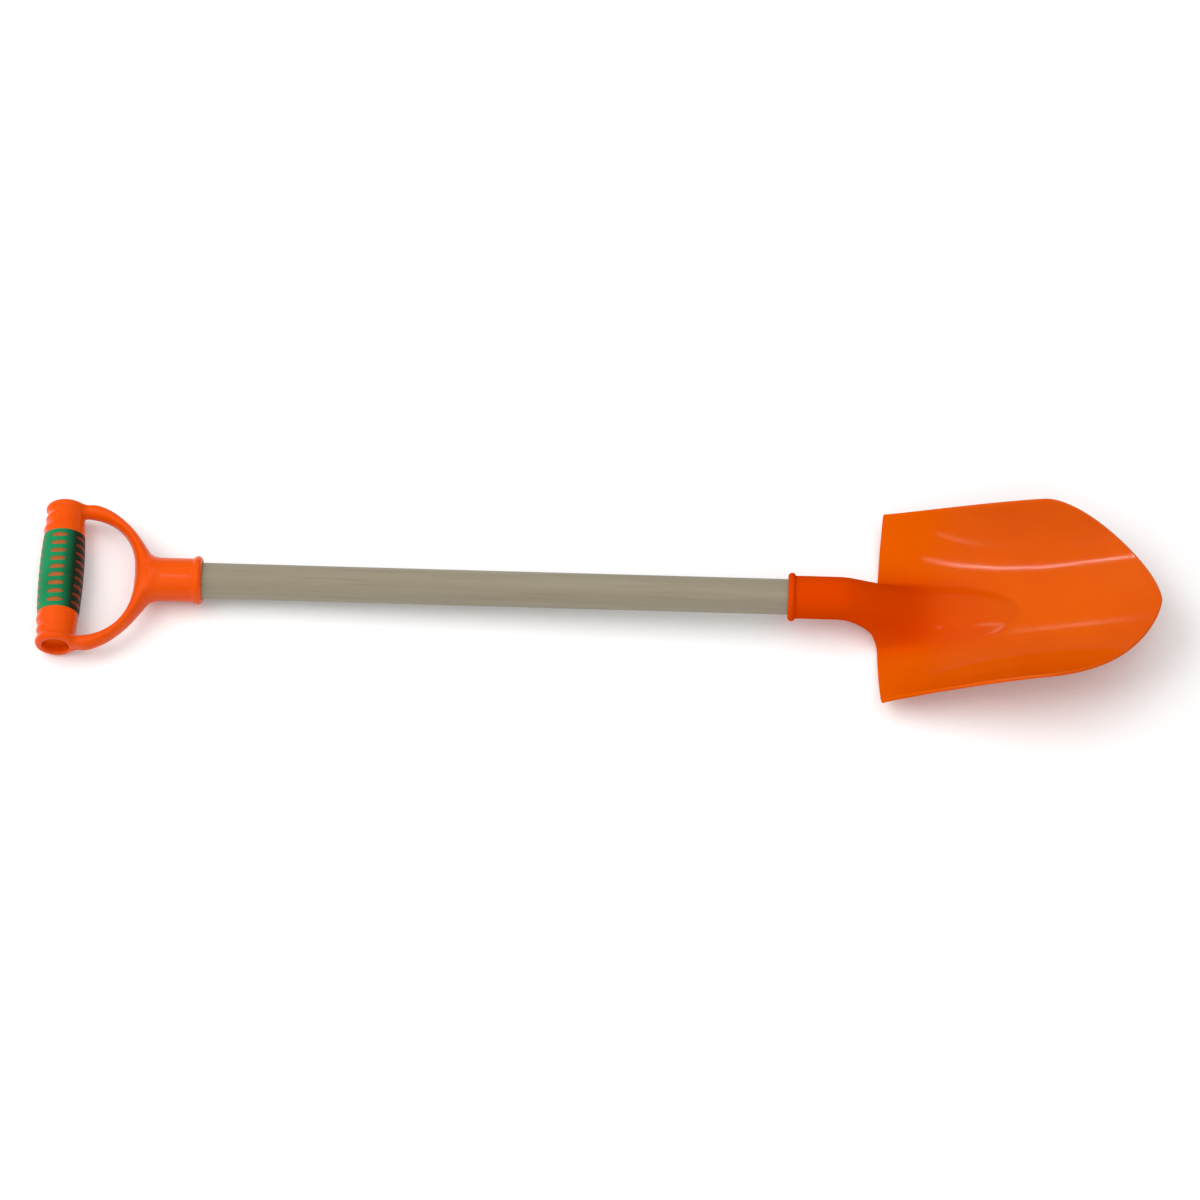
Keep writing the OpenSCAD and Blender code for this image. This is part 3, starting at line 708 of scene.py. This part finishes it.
    def __call__(self, points):
        p, h = self.p, self.h
        x, y, z = np.moveaxis(points, -1, 0)
        ring = np.hypot(y, z)
        around = np.hypot(x - p.grip_x, z)
        bead = h.bead_width / 2
        bead_x = h.ferrule_depth - bead
        plug = -p.shaft.seat_gap - self.PLUG_SHARE * h.crotch_wall
        tube = rounded_box(ring - p.ferrule_r, np.maximum(x - bead_x, plug - x))
        lip = np.hypot(ring - (p.ferrule_r + h.bead_height - bead), x - bead_x) - bead
        rim = h.rim_width / 2
        rim_core = h.rim_diameter / 2 - rim
        ends = np.hypot(around - rim_core, np.abs(y) - (p.grip_half - rim)) - rim
        disc = np.maximum(around - rim_core, np.abs(np.abs(y) - (p.grip_half - rim)) - rim)
        grip = join(self.barrel(around, x, y, z), np.minimum(ends, disc), h.small_fillet)
        solid = join(self.yoke(around, x, y, z), tube, h.crotch_fillet)
        solid = join(join(solid, lip, h.small_fillet), grip, h.grip_fillet)
        bore = np.maximum(ring - p.bore_r, -p.shaft.seat_gap - x)
        hollow = np.maximum(around - h.hollow_diameter / 2, p.grip_half - h.hollow_depth - np.abs(y))
        solid = -join(-solid, bore, self.BORE_ROUND)
        return -join(-solid, hollow, self.HOLLOW_ROUND)

    def box(self):
        """Two corners round the whole handle."""
        p, h = self.p, self.h
        side = h.opening_width / 2 + h.arm_root + self.MARGIN
        height = p.ferrule_r + h.bead_height + self.MARGIN
        back = p.grip_x - h.grip_middle / 2 - self.MARGIN
        return (back, -side, -height), (h.ferrule_depth + self.MARGIN, side, height)


def rounded_box(a, b):
    """Distance to the place where two distances are both inside."""
    return np.hypot(np.maximum(a, 0), np.maximum(b, 0)) + np.minimum(np.maximum(a, b), 0)


def join(a, b, fillet):
    """The nearer of two distances, with a fillet where they are close."""
    h = np.clip(fillet - np.abs(a - b), 0, None) / fillet
    return np.minimum(a, b) - h * h * fillet / 4


def surface_of(field, low, high, step):
    """Quads on the zero level of a distance field, moved onto the level itself."""
    axes = [np.arange(lo, hi + step, step) for lo, hi in zip(low, high)]
    value = np.stack([field(np.stack(np.meshgrid([x], axes[1], axes[2], indexing="ij"), -1))[0]
                      for x in axes[0]])
    inside = value < 0
    shape = np.array(value.shape) - 1
    corners = [np.array(c) for c in np.ndindex(2, 2, 2)]
    cut = [tuple(slice(c[a], c[a] + shape[a]) for a in range(3)) for c in corners]
    filled = sum(inside[c].astype(np.int8) for c in cut)
    cell = np.argwhere((filled > 0) & (filled < 8))
    number = np.full(shape, -1)
    number[tuple(cell.T)] = np.arange(len(cell))
    total, hits = np.zeros((len(cell), 3)), np.zeros(len(cell))
    for axis in range(3):
        along = np.eye(3, dtype=int)[axis]
        for c in corners:
            if c[axis]:
                continue
            f0, f1 = value[tuple((cell + c).T)], value[tuple((cell + c + along).T)]
            crossed = (f0 < 0) != (f1 < 0)
            share = np.where(crossed, f0 / np.where(crossed, f0 - f1, 1), 0)
            total += crossed[:, None] * (c + share[:, None] * along)
            hits += crossed
    points = np.array(low) + step * (cell + total / hits[:, None])
    quads = []
    for axis in range(3):
        b, c = [a for a in range(3) if a != axis]
        ahead = np.roll(inside, -1, axis) != inside
        edge = np.argwhere(ahead)
        edge = edge[(edge[:, axis] < shape[axis]) & (edge[:, b] > 0) & (edge[:, c] > 0)
                    & (edge[:, b] < shape[b]) & (edge[:, c] < shape[c])]
        back_b, back_c = np.eye(3, dtype=int)[b], np.eye(3, dtype=int)[c]
        quads.append(np.stack([number[tuple((edge - d).T)]
                               for d in (0 * back_b, back_b, back_b + back_c, back_c)], -1))
    return settle(field, points, step / 5), np.vstack(quads)


def settle(field, points, probe, rounds=3, least_slope=0.25):
    """Moves points down the slope of a field onto its zero level."""
    for _ in range(rounds):
        slope = np.stack([(field(points + d) - field(points - d)) / (2 * probe)
                          for d in probe * np.eye(3)], -1)
        size = np.maximum((slope ** 2).sum(-1), least_slope)
        points = points - np.clip(field(points) / size, -probe * 2, probe * 2)[:, None] * slope
    return points


class ScrewForm:
    """A countersunk screw that stands on z, and its hole."""

    # The head's edge and the rim's insets, the thread's root and point, the recess and the hole
    LAND, RIM = 0.0004, ((0.00015, 0.0003), (0.0001, 0.0))
    ROOT_SHARE, POINT_LENGTH, POINT_SHARE = 0.78, 0.004, 0.12
    SIDES, THREAD_STEPS, HOLE_STEPS, OVERRUN = 32, 90, 3, 0.003
    RECESS_REACH_SHARE, RECESS_SLIM_SHARE = 0.29, 0.075
    RECESS_RINGS = ((1.12, -0.001), (1, 0.0003), (0.45, 0.0019))

    def __init__(self, places, at, radius):
        self.places, self.screws = places, places.screws
        self.stand = places.rest @ Matrix.Translation((at, 0, places.screw_sink - radius))
        self.angles = full_turn(self.SIDES)

    def ring(self, z, radius):
        """A level ring; the radius may differ from side to side."""
        level = np.full(self.SIDES, z)
        return np.stack([radius * np.cos(self.angles), radius * np.sin(self.angles), level], -1)

    def cone(self, room):
        """Place and radius where the head's cone begins and where it meets the shank."""
        head, shank = self.screws.head / 2 + room, self.screws.shank / 2 + room
        return [(self.LAND, head), (self.LAND + head - shank, shank)]

    def hole(self):
        """A cutter for the hole, open towards the ground."""
        room = self.places.shaft.fit_gap
        cone = self.cone(room)
        (_, head), (start, shank) = cone
        depths = np.linspace(start + self.LAND, self.screws.length + room, self.HOLE_STEPS)
        profile = [(-self.OVERRUN, head), (0, head)] + cone + [(z, shank) for z in depths]
        skin = Skin()
        skin.solid([self.ring(z, r) for z, r in profile])
        return skin.mesh("screw hole", self.stand)

    def steel(self, name):
        """The screw itself, with its cross recess and a tooth in the middle half of each turn."""
        screws, cone = self.screws, self.cone(0)
        (_, head), (start, shank) = cone
        rings = [self.ring(z, r) for z, r in [(z, head - inset) for z, inset in self.RIM] + cone]
        for z in np.linspace(start + self.LAND, screws.length, self.THREAD_STEPS):
            turn_share = (z / screws.pitch - self.angles / (2 * math.pi)) % 1
            tooth = np.clip(1 - np.abs(turn_share - 0.5) * 4, 0, 1)
            taper = np.clip((screws.length - z) / self.POINT_LENGTH, self.POINT_SHARE, 1)
            rings.append(self.ring(z, taper * shank * mix(self.ROOT_SHARE, 1, tooth)))
        skin = Skin()
        skin.solid(rings)
        return carve(skin.mesh(name, self.stand), self.recess())

    def recess(self):
        """A tapered cross to press into the head."""
        reach, slim = self.RECESS_REACH_SHARE * self.screws.head, self.RECESS_SLIM_SHARE * self.screws.head
        plan = [(reach, slim), (slim, slim), (slim, reach)]
        ring = [Matrix.Rotation(k * math.pi / 2, 2) @ Vector(p) for k in range(4) for p in plan]
        skin = Skin()
        skin.solid([[(share * p.x, share * p.y, z) for p in ring] for share, z in self.RECESS_RINGS])
        return skin.mesh("cross recess", self.stand)


def blade_screw(places):
    """The screw in the middle of the blade's socket."""
    return ScrewForm(places, places.socket_mouth + places.blade.socket_depth / 2, places.socket_r)


def handle_screw(places):
    """The screw in the middle of the ferrule."""
    return ScrewForm(places, places.handle.ferrule_depth / 2, places.ferrule_r)


class Shader:
    """A short way to wire a node material."""

    def __init__(self, name):
        self.material = bpy.data.materials.new(name)
        self.material.use_nodes = True
        self.tree = self.material.node_tree
        self.surface = self.tree.nodes["Principled BSDF"]
        self.place = self.node("ShaderNodeTexCoord").outputs["Object"]

    def node(self, kind, **settings):
        """A new node with its settings."""
        made = self.tree.nodes.new(kind)
        for key, value in settings.items():
            setattr(made, key, value)
        return made

    def link(self, source, target):
        """Joins a node's output to an input, or sets the input to a plain value."""
        if hasattr(source, "links"):
            self.tree.links.new(source, target)
        else:
            target.default_value = source

    def noise(self, scale=1.0, detail=3.0, roughness=0.5, stretch=(1, 1, 1), distortion=0.0):
        """Cloudy noise from 0 to 1, finer with scale and stretched along the axes."""
        spread = self.node("ShaderNodeMapping")
        spread.inputs["Scale"].default_value = stretch
        self.link(self.place, spread.inputs["Vector"])
        noise = self.node("ShaderNodeTexNoise")
        for key, value in (("Scale", scale), ("Detail", detail), ("Roughness", roughness),
                           ("Distortion", distortion)):
            noise.inputs[key].default_value = value
        self.link(spread.outputs["Vector"], noise.inputs["Vector"])
        return noise.outputs["Fac"]

    def band(self, value, low=0.0, high=1.0, out_low=0.0, out_high=1.0):
        """A value between low and high, spread from out_low to out_high."""
        ranged = self.node("ShaderNodeMapRange")
        for key, number in (("From Min", low), ("From Max", high),
                            ("To Min", out_low), ("To Max", out_high)):
            ranged.inputs[key].default_value = number
        self.link(value, ranged.inputs["Value"])
        return ranged.outputs["Result"]

    def blend(self, share, first, second):
        """A share of the way from one colour to another."""
        mixed = self.node("ShaderNodeMix", data_type="RGBA")
        self.link(share, mixed.inputs["Factor"])
        for socket, colour in ((mixed.inputs[6], first), (mixed.inputs[7], second)):
            self.link(colour if hasattr(colour, "links") else (*colour, 1), socket)
        return mixed.outputs[2]

    def axis(self, name):
        """One coordinate of the point on the shovel."""
        split = self.node("ShaderNodeSeparateXYZ")
        self.link(self.place, split.inputs["Vector"])
        return split.outputs[name]

    def math(self, operation, first, second=0.0):
        """A sum, product or the like of one or two values."""
        made = self.node("ShaderNodeMath", operation=operation)
        self.link(first, made.inputs[0])
        self.link(second, made.inputs[1])
        return made.outputs[0]

    def bump(self, height, strength, distance, under=None):
        """A fine relief, on top of another one if there is one under it."""
        bump = self.node("ShaderNodeBump")
        bump.inputs["Strength"].default_value = strength
        bump.inputs["Distance"].default_value = distance
        self.link(height, bump.inputs["Height"])
        if under is not None:
            self.link(under, bump.inputs["Normal"])
        return bump.outputs["Normal"]

    def set(self, **values):
        """Fills the surface's sockets and gives the finished material."""
        for key, value in values.items():
            self.link(value, self.surface.inputs[key.replace("_", " ")])
        return self.material


def darker(colour, share):
    """A share of a colour's light."""
    return tuple(share * part for part in colour)


def moulded_plastic(name, colour, deep, gloss=0.11, shine=0.25, shaded=None, shaded_share=None):
    """Bright moulded plastic: cloudy colour, a fine skin and faint handling marks.

    shine is a number or a function of the shader; shaded is a colour of painted
    shade, blended in where shaded_share says."""
    s = Shader(name)
    cloud = s.band(s.noise(scale=22, detail=4, roughness=0.55), low=0.35, high=0.7)
    ripple = s.noise(scale=60, detail=2)
    skin = s.noise(scale=900, detail=2)
    scuff = s.noise(scale=120, detail=6, roughness=0.65, stretch=(0.25, 1, 1), distortion=0.6)
    marks = s.band(scuff, low=0.62, high=0.8)
    normal = s.bump(ripple, strength=0.08, distance=0.0006)
    normal = s.bump(skin, strength=0.10, distance=0.0002, under=normal)
    shade = s.blend(cloud, colour, deep)
    # Painted shade, blended in where shaded_share says
    if shaded is not None:
        shade = s.blend(shaded_share(s), shade, shaded)
    cloudy_gloss = s.band(cloud, out_low=gloss - 0.02, out_high=gloss + 0.02)
    rough = s.math("ADD", cloudy_gloss, s.band(marks, out_high=0.12))
    if callable(shine):
        shine = shine(s)
    return s.set(Base_Color=shade, Roughness=rough, Normal=normal, IOR=1.49,
                 Specular_IOR_Level=shine, Subsurface_Weight=0.06, Subsurface_Scale=0.003,
                 Subsurface_Radius=(1.0, 0.35, 0.08))


def turned_wood(name, settings):
    """Sanded hardwood: long bands, fine streaks and short dark pores along the shaft."""
    s = Shader(name)
    bands = s.noise(detail=5, roughness=0.6, stretch=(2.2, 70, 70), distortion=0.4)
    streaks = s.noise(detail=6, roughness=0.7, stretch=(6, 420, 420))
    pores = s.noise(detail=3, roughness=0.6, stretch=(45, 1500, 1500))
    shade = s.blend(s.band(bands, low=0.3, high=0.7), settings.pale, settings.deep)
    shade = s.blend(s.band(streaks, low=0.52, high=0.82, out_high=0.75), shade, settings.streak)
    shade = s.blend(s.band(pores, low=0.64, high=0.78, out_high=0.6), shade, settings.streak)
    normal = s.bump(pores, strength=0.15, distance=0.0002)
    normal = s.bump(streaks, strength=0.25, distance=0.0003, under=normal)
    rough = s.band(streaks, low=0.3, high=0.8, out_low=0.46, out_high=0.62)
    return s.set(Base_Color=shade, Roughness=rough, Normal=normal)


def soft_rubber(name, colour, deep, painted_shade, painted_shade_share):
    """Soft overmoulded rubber with a matt, finely pebbled skin, darkened on one side by painted shade."""
    s = Shader(name)
    cloud = s.band(s.noise(scale=45, detail=4, roughness=0.6), low=0.35, high=0.68)
    pebble = s.noise(scale=1500, detail=2, roughness=0.6)
    normal = s.bump(pebble, strength=0.35, distance=0.0002)
    # Painted shade on one side of the sleeve
    shade = s.blend(painted_shade_share(s), s.blend(cloud, colour, deep), painted_shade)
    rough = s.band(pebble, low=0.3, high=0.7, out_low=0.5, out_high=0.66)
    return s.set(Base_Color=shade, Roughness=rough, Normal=normal, Specular_IOR_Level=0.2)


def plated_steel(name, colour):
    """Zinc-plated steel with fine turning marks."""
    s = Shader(name)
    spangle = s.noise(scale=700, detail=5, roughness=0.6)
    lines = s.noise(detail=2, stretch=(9000, 900, 900))
    cloud = s.band(spangle, low=0.35, high=0.7)
    shade = s.blend(cloud, colour, darker(colour, STEEL_DEEP_SHARE))
    rough = s.band(spangle, low=0.3, high=0.7, out_low=0.28, out_high=0.45)
    normal = s.bump(lines, strength=0.1, distance=0.0001)
    return s.set(Base_Color=shade, Roughness=rough, Normal=normal, Metallic=1.0)


def pale_floor(name, colour):
    """A plain pale floor with a hardly visible unevenness."""
    s = Shader(name)
    cloud = s.band(s.noise(scale=3), low=0.3, high=0.7)
    shade = s.blend(cloud, colour, darker(colour, FLOOR_DEEP_SHARE))
    return s.set(Base_Color=shade, Roughness=0.9, Specular_IOR_Level=0.1)


class SHOVEL_OT_blade(Operator):
    """Make the blade with its frog, neck and beaded socket"""
    bl_idname = "shovel.blade"
    bl_label = "Blade"

    def execute(self, context):
        places = Places(context.scene)
        b = places.blade
        mesh = BladeNet(places).skin().mesh("blade_moulding", places.rest)
        mesh = carve(mesh, blade_screw(places).hole())
        tread = (places.rest @ Vector((places.tread_x, 0, 0))).x

        # Painted shade on the neck and frog, over the deeper colour of their thicker plastic
        def shaded_share(s):
            along = s.band(s.axis("X"), tread + b.frog_length, tread + b.plunge / 2)
            across = s.band(s.math("ABSOLUTE", s.axis("Y")), UNSHADED_SHARE * b.frog_flare,
                            FULL_SHADE_SHARE * b.frog_flare)
            return s.math("MULTIPLY", along, across)

        def shine(s):
            return s.band(s.axis("X"), tread + DULL_FROM, tread + DULL_TO, DULL_SHINE, FULL_SHINE)

        plastic = moulded_plastic("blade plastic", b.colour, b.deep, shine=shine,
                                  shaded=b.shaded, shaded_share=shaded_share)
        add_piece("blade_moulding", mesh, plastic, "orange_plastic", "blade")
        return {"FINISHED"}


class SHOVEL_OT_shaft(Operator):
    """Make the wooden dowel"""
    bl_idname = "shovel.shaft"
    bl_label = "Shaft"
    SIDES, RINGS = 96, 60

    def execute(self, context):
        places = Places(context.scene)
        r, end, chamfer = places.shaft_r, places.shaft.length, places.shaft.chamfer
        body = [(x, r) for x in np.linspace(chamfer, end - chamfer, self.RINGS)]
        profile = [(0, r - chamfer)] + body + [(end, r - chamfer)]
        skin = Skin()
        skin.solid(lathe(profile, full_turn(self.SIDES), ALONG, ACROSS))
        wood = turned_wood("shaft wood", places.shaft)
        add_piece("shaft_dowel", skin.mesh("shaft_dowel", places.rest), wood, "shaft_wood", "shaft")
        return {"FINISHED"}


class SHOVEL_OT_handle(Operator):
    """Make the D handle in one moulding"""
    bl_idname = "shovel.handle"
    bl_label = "Handle"

    def execute(self, context):
        places = Places(context.scene)
        h, field = places.handle, HandleField(places)
        points, quads = surface_of(field, *field.box(), h.fineness)
        skin = Skin()
        skin.points, skin.faces = [points], quads.tolist()
        mesh = skin.mesh("handle_moulding", places.rest)
        mesh = carve(mesh, handle_screw(places).hole())
        plastic = moulded_plastic("handle plastic", h.colour, h.deep, HANDLE_GLOSS, HANDLE_SHINE)
        add_piece("handle_moulding", mesh, plastic, "orange_plastic", "handle_frame")
        return {"FINISHED"}


class SleeveForm:
    """The soft sleeve, the windows in it and the ribs that stand in them."""

    # The sleeve's stand and soft ends, the ribs' feet and tops, and shares of a rib for its dome
    PROUD, SOFT_END, RIB_FOOT, RIB_EDGE = 0.00012, 0.0004, 0.0004, 0.00002
    DOME_SHARES, DOME_POWER = (0.999, 0.97, 0.88, 0.7, 0.45, 0.2), 4
    CUT_FROM, CUT_TO = 0.0118, 0.019
    SIDES, RINGS, END_RINGS, RIB_SIDES = 160, 49, 6, 28

    def __init__(self, places):
        self.p, self.sleeve = places, places.sleeve

    def soft(self):
        """The sleeve before its windows are cut."""
        p, soft, half = self.p, self.SOFT_END, self.p.sleeve_half
        y = np.linspace(-1, 1, self.RINGS)
        outer = [(v, p.barrel_r(v) + self.PROUD) for v in (half - soft) * y]
        end = p.barrel_r(half)
        rounded = [(half - soft + soft * math.cos(a), end + self.PROUD - soft + soft * math.sin(a))
                   for a in np.linspace(math.pi / 2, 0, self.END_RINGS)]
        inner = [(v, p.barrel_r(v) - self.sleeve.thickness) for v in half * y[::-1]]
        profile = [(-v, r) for v, r in rounded[::-1]] + outer[1:-1] + rounded + inner
        rings = lathe(profile + profile[:1], full_turn(self.SIDES), ACROSS, ALONG)
        skin = Skin()
        skin.grid(rings + p.grip_x * ALONG, closed=True)
        return skin.mesh("sleeve_soft", p.rest)

    def rib_places(self):
        """Turn round the grip and place along it of each rib."""
        sleeve = self.sleeve
        for row in range(sleeve.rows):
            turned = sleeve.row_turn + 2 * math.pi * row / sleeve.rows
            for n in range(sleeve.ribs):
                yield turned, sleeve.rib_pitch * (n - (sleeve.ribs - 1) / 2)

    def outline(self, room):
        """Points of a rib's oval round and along the grip."""
        a = full_turn(self.RIB_SIDES)
        half_length, half_width = self.sleeve.rib_length / 2, self.sleeve.rib_width / 2
        return (half_length + room) * np.cos(a), (half_width + room) * np.sin(a)

    def windows(self):
        """Cutters for the windows, with a little room round the ribs."""
        skin = Skin()
        u, v = self.outline(self.p.shaft.fit_gap)
        for turned, y in self.rib_places():
            side = np.array([math.cos(turned), 0, -math.sin(turned)])
            out = np.array([math.sin(turned), 0, math.cos(turned)])
            base = np.array([self.p.grip_x, y, 0]) + u[:, None] * side + v[:, None] * ACROSS
            skin.solid([base + r * out for r in (self.CUT_FROM, self.CUT_TO)])
        return skin.mesh("rib windows", self.p.rest)

    def ribs(self):
        """Domed ribs that stand on the grip's core."""
        p, sleeve, skin = self.p, self.sleeve, Skin()
        u, v = self.outline(0)
        domes = [(share, sleeve.rib_rise * (1 - share ** self.DOME_POWER) - self.RIB_EDGE)
                 for share in (1, *self.DOME_SHARES)]
        for turned, y in self.rib_places():
            rings = []
            for share, lift in [(1, -sleeve.thickness - self.RIB_FOOT)] + domes:
                along, around = y + share * v, share * u
                r = p.barrel_r(along) + lift
                a = turned + around / p.barrel_r(along)
                rings.append(np.stack([p.grip_x + r * np.sin(a), along, r * np.cos(a)], -1))
            skin.solid(rings)
        return skin.mesh("grip_ribs", p.rest)


class SHOVEL_OT_grip(Operator):
    """Make the soft sleeve and the ribs that stand in its windows"""
    bl_idname = "shovel.grip"
    bl_label = "Grip sleeve and ribs"

    def execute(self, context):
        places = Places(context.scene)
        sleeve, form = places.sleeve, SleeveForm(places)
        grip = (places.rest @ Vector((places.grip_x, 0, 0))).x
        reach = SHADE_REACH_SHARE * places.handle.grip_middle / 2

        # Painted shade from the grip's axis towards its inner side
        def painted_shade_share(s):
            return s.band(s.axis("X"), grip, grip + reach, out_high=SHADE_SHARE)

        green = soft_rubber("sleeve rubber", sleeve.colour, sleeve.deep, sleeve.painted_shade, painted_shade_share)
        mesh = carve(form.soft(), form.windows())
        add_piece("sleeve_soft", mesh, green, "green_rubber", "grip_sleeve")
        # The ribs carry the same painted shade
        orange = moulded_plastic("rib plastic", sleeve.rib_colour,
                                 darker(sleeve.rib_colour, RIB_DEEP_SHARE), RIB_GLOSS,
                                 shaded=sleeve.rib_painted_shade, shaded_share=painted_shade_share)
        add_piece("grip_ribs", form.ribs(), orange, "orange_plastic")
        return {"FINISHED"}


class SHOVEL_OT_screws(Operator):
    """Make the two countersunk screws with their cross recess and thread"""
    bl_idname = "shovel.screws"
    bl_label = "Fixing screws"

    def execute(self, context):
        places = Places(context.scene)
        steel = plated_steel("screw steel", places.screws.colour)
        for node, form in (("blade_screw", blade_screw(places)), ("handle_screw", handle_screw(places))):
            mesh = form.steel(node + "_steel")
            add_piece(node + "_steel", mesh, steel, "screw_steel", node, sharp=SCREW_SHARP)
        return {"FINISHED"}


class SHOVEL_OT_stage(Operator):
    """Make the camera, the soft light and the pale floor"""
    bl_idname = "shovel.stage"
    bl_label = "Stage"

    def execute(self, context):
        stage = context.scene.shovel_stage
        self.camera(context.scene, stage)
        self.floor(context.scene, stage)
        self.light(context.scene, stage)
        return {"FINISHED"}

    def camera(self, scene, stage):
        """A level view from the photograph's side, rolled as the photograph is."""
        a, e, r = stage.azimuth, stage.elevation, stage.roll
        look = Vector((math.sin(a) * math.cos(e), math.cos(a) * math.cos(e), -math.sin(e)))
        right = Vector((math.cos(a), -math.sin(a), 0))
        up = right.cross(look)
        across = math.cos(r) * right + math.sin(r) * up
        upright = math.cos(r) * up - math.sin(r) * right
        data = bpy.data.cameras.new("camera")
        data.lens, data.sensor_width = stage.lens, SENSOR_WIDTH
        data.clip_end = FAR_END
        camera = bpy.data.objects.new("camera", data)
        scene.collection.objects.link(camera)
        aim = Vector((0, 0, stage.aim_height)) + SHIFT_RIGHT * across + SHIFT_UP * upright
        place = aim - stage.distance * look
        turned = Matrix((across, upright, -look)).transposed()
        camera.matrix_world = Matrix.Translation(place) @ turned.to_4x4()
        scene.camera = camera

    def floor(self, scene, stage):
        """A plain square on the ground."""
        mesh = bpy.data.meshes.new("floor")
        corners = [(FLOOR_REACH * x, FLOOR_REACH * y, 0) for x, y in ((-1, -1), (1, -1), (1, 1), (-1, 1))]
        mesh.from_pydata(corners, [], [(0, 1, 2, 3)])
        floor = bpy.data.objects.new("floor", mesh)
        floor.data.materials.append(pale_floor("floor", stage.floor))
        scene.collection.objects.link(floor)

    def light(self, scene, stage):
        """Broad soft lamps, thin ones for the highlights, and an even white room."""
        for name, (place, aim, size) in LAMPS.items():
            turned = (Vector(aim) - Vector(place)).to_track_quat("-Z", "Y").to_matrix()
            lamp = self.lamp(scene, name, Vector(place), turned, size, getattr(stage, name))
            lamp.visible_glossy = False
        for number, (start, end, share) in enumerate(TUBES):
            self.tube(scene, "tube %d" % (number + 1), Vector(start), Vector(end), share * stage.tube)
        scene.view_settings.view_transform = "Standard"
        world = bpy.data.worlds.new("room")
        world.use_nodes = True
        room = world.node_tree.nodes["Background"].inputs
        room["Color"].default_value = (1, 1, 1, 1)
        room["Strength"].default_value = stage.sky
        scene.world = world

    def tube(self, scene, name, start, end, watts):
        """A thin lamp from one point to another, turned to the blade, whose mirror image shows."""
        middle, along = (start + end) / 2, (end - start).normalized()
        away = middle - Vector(TUBE_AIM)
        out = (away - away.dot(along) * along).normalized()
        turned = Matrix((along, out.cross(along), out)).transposed()
        lamp = self.lamp(scene, name, middle, turned, ((end - start).length, TUBE_WIDTH), watts)
        lamp.visible_diffuse = False

    def lamp(self, scene, name, place, turned, size, watts):
        """A rectangular lamp at a place, turned by a matrix."""
        data = bpy.data.lights.new(name, "AREA")
        data.shape, data.energy = "RECTANGLE", watts
        data.size, data.size_y = size
        lamp = bpy.data.objects.new(name, data)
        lamp.matrix_world = Matrix.Translation(place) @ turned.to_4x4()
        scene.collection.objects.link(lamp)
        return lamp


OPERATORS = (SHOVEL_OT_blade, SHOVEL_OT_shaft, SHOVEL_OT_handle,
             SHOVEL_OT_grip, SHOVEL_OT_screws, SHOVEL_OT_stage)


class SHOVEL_PT_sidebar(Panel):
    """Settings and steps of the shovel"""
    bl_idname = "SHOVEL_PT_sidebar"
    bl_label = "Sand shovel"
    bl_space_type = "VIEW_3D"
    bl_region_type = "UI"
    bl_category = "Shovel"

    def draw(self, context):
        for operator in OPERATORS:
            self.layout.operator(operator.bl_idname)
        for name, group in GROUPS.items():
            box = self.layout.box()
            box.label(text=group.__doc__)
            for setting in group.__annotations__:
                box.prop(getattr(context.scene, name), setting)


def register():
    for made in (*GROUPS.values(), *OPERATORS, SHOVEL_PT_sidebar):
        bpy.utils.register_class(made)
    for name, group in GROUPS.items():
        setattr(bpy.types.Scene, name, PointerProperty(type=group))


def unregister():
    for name in GROUPS:
        delattr(bpy.types.Scene, name)
    for made in reversed((*GROUPS.values(), *OPERATORS, SHOVEL_PT_sidebar)):
        bpy.utils.unregister_class(made)


def main():
    """Builds the pieces and the stage in order."""
    register()
    bpy.ops.shovel.blade()
    bpy.ops.shovel.shaft()
    bpy.ops.shovel.handle()
    bpy.ops.shovel.grip()
    bpy.ops.shovel.screws()
    bpy.ops.shovel.stage()


if __name__ == "__main__":
    main()
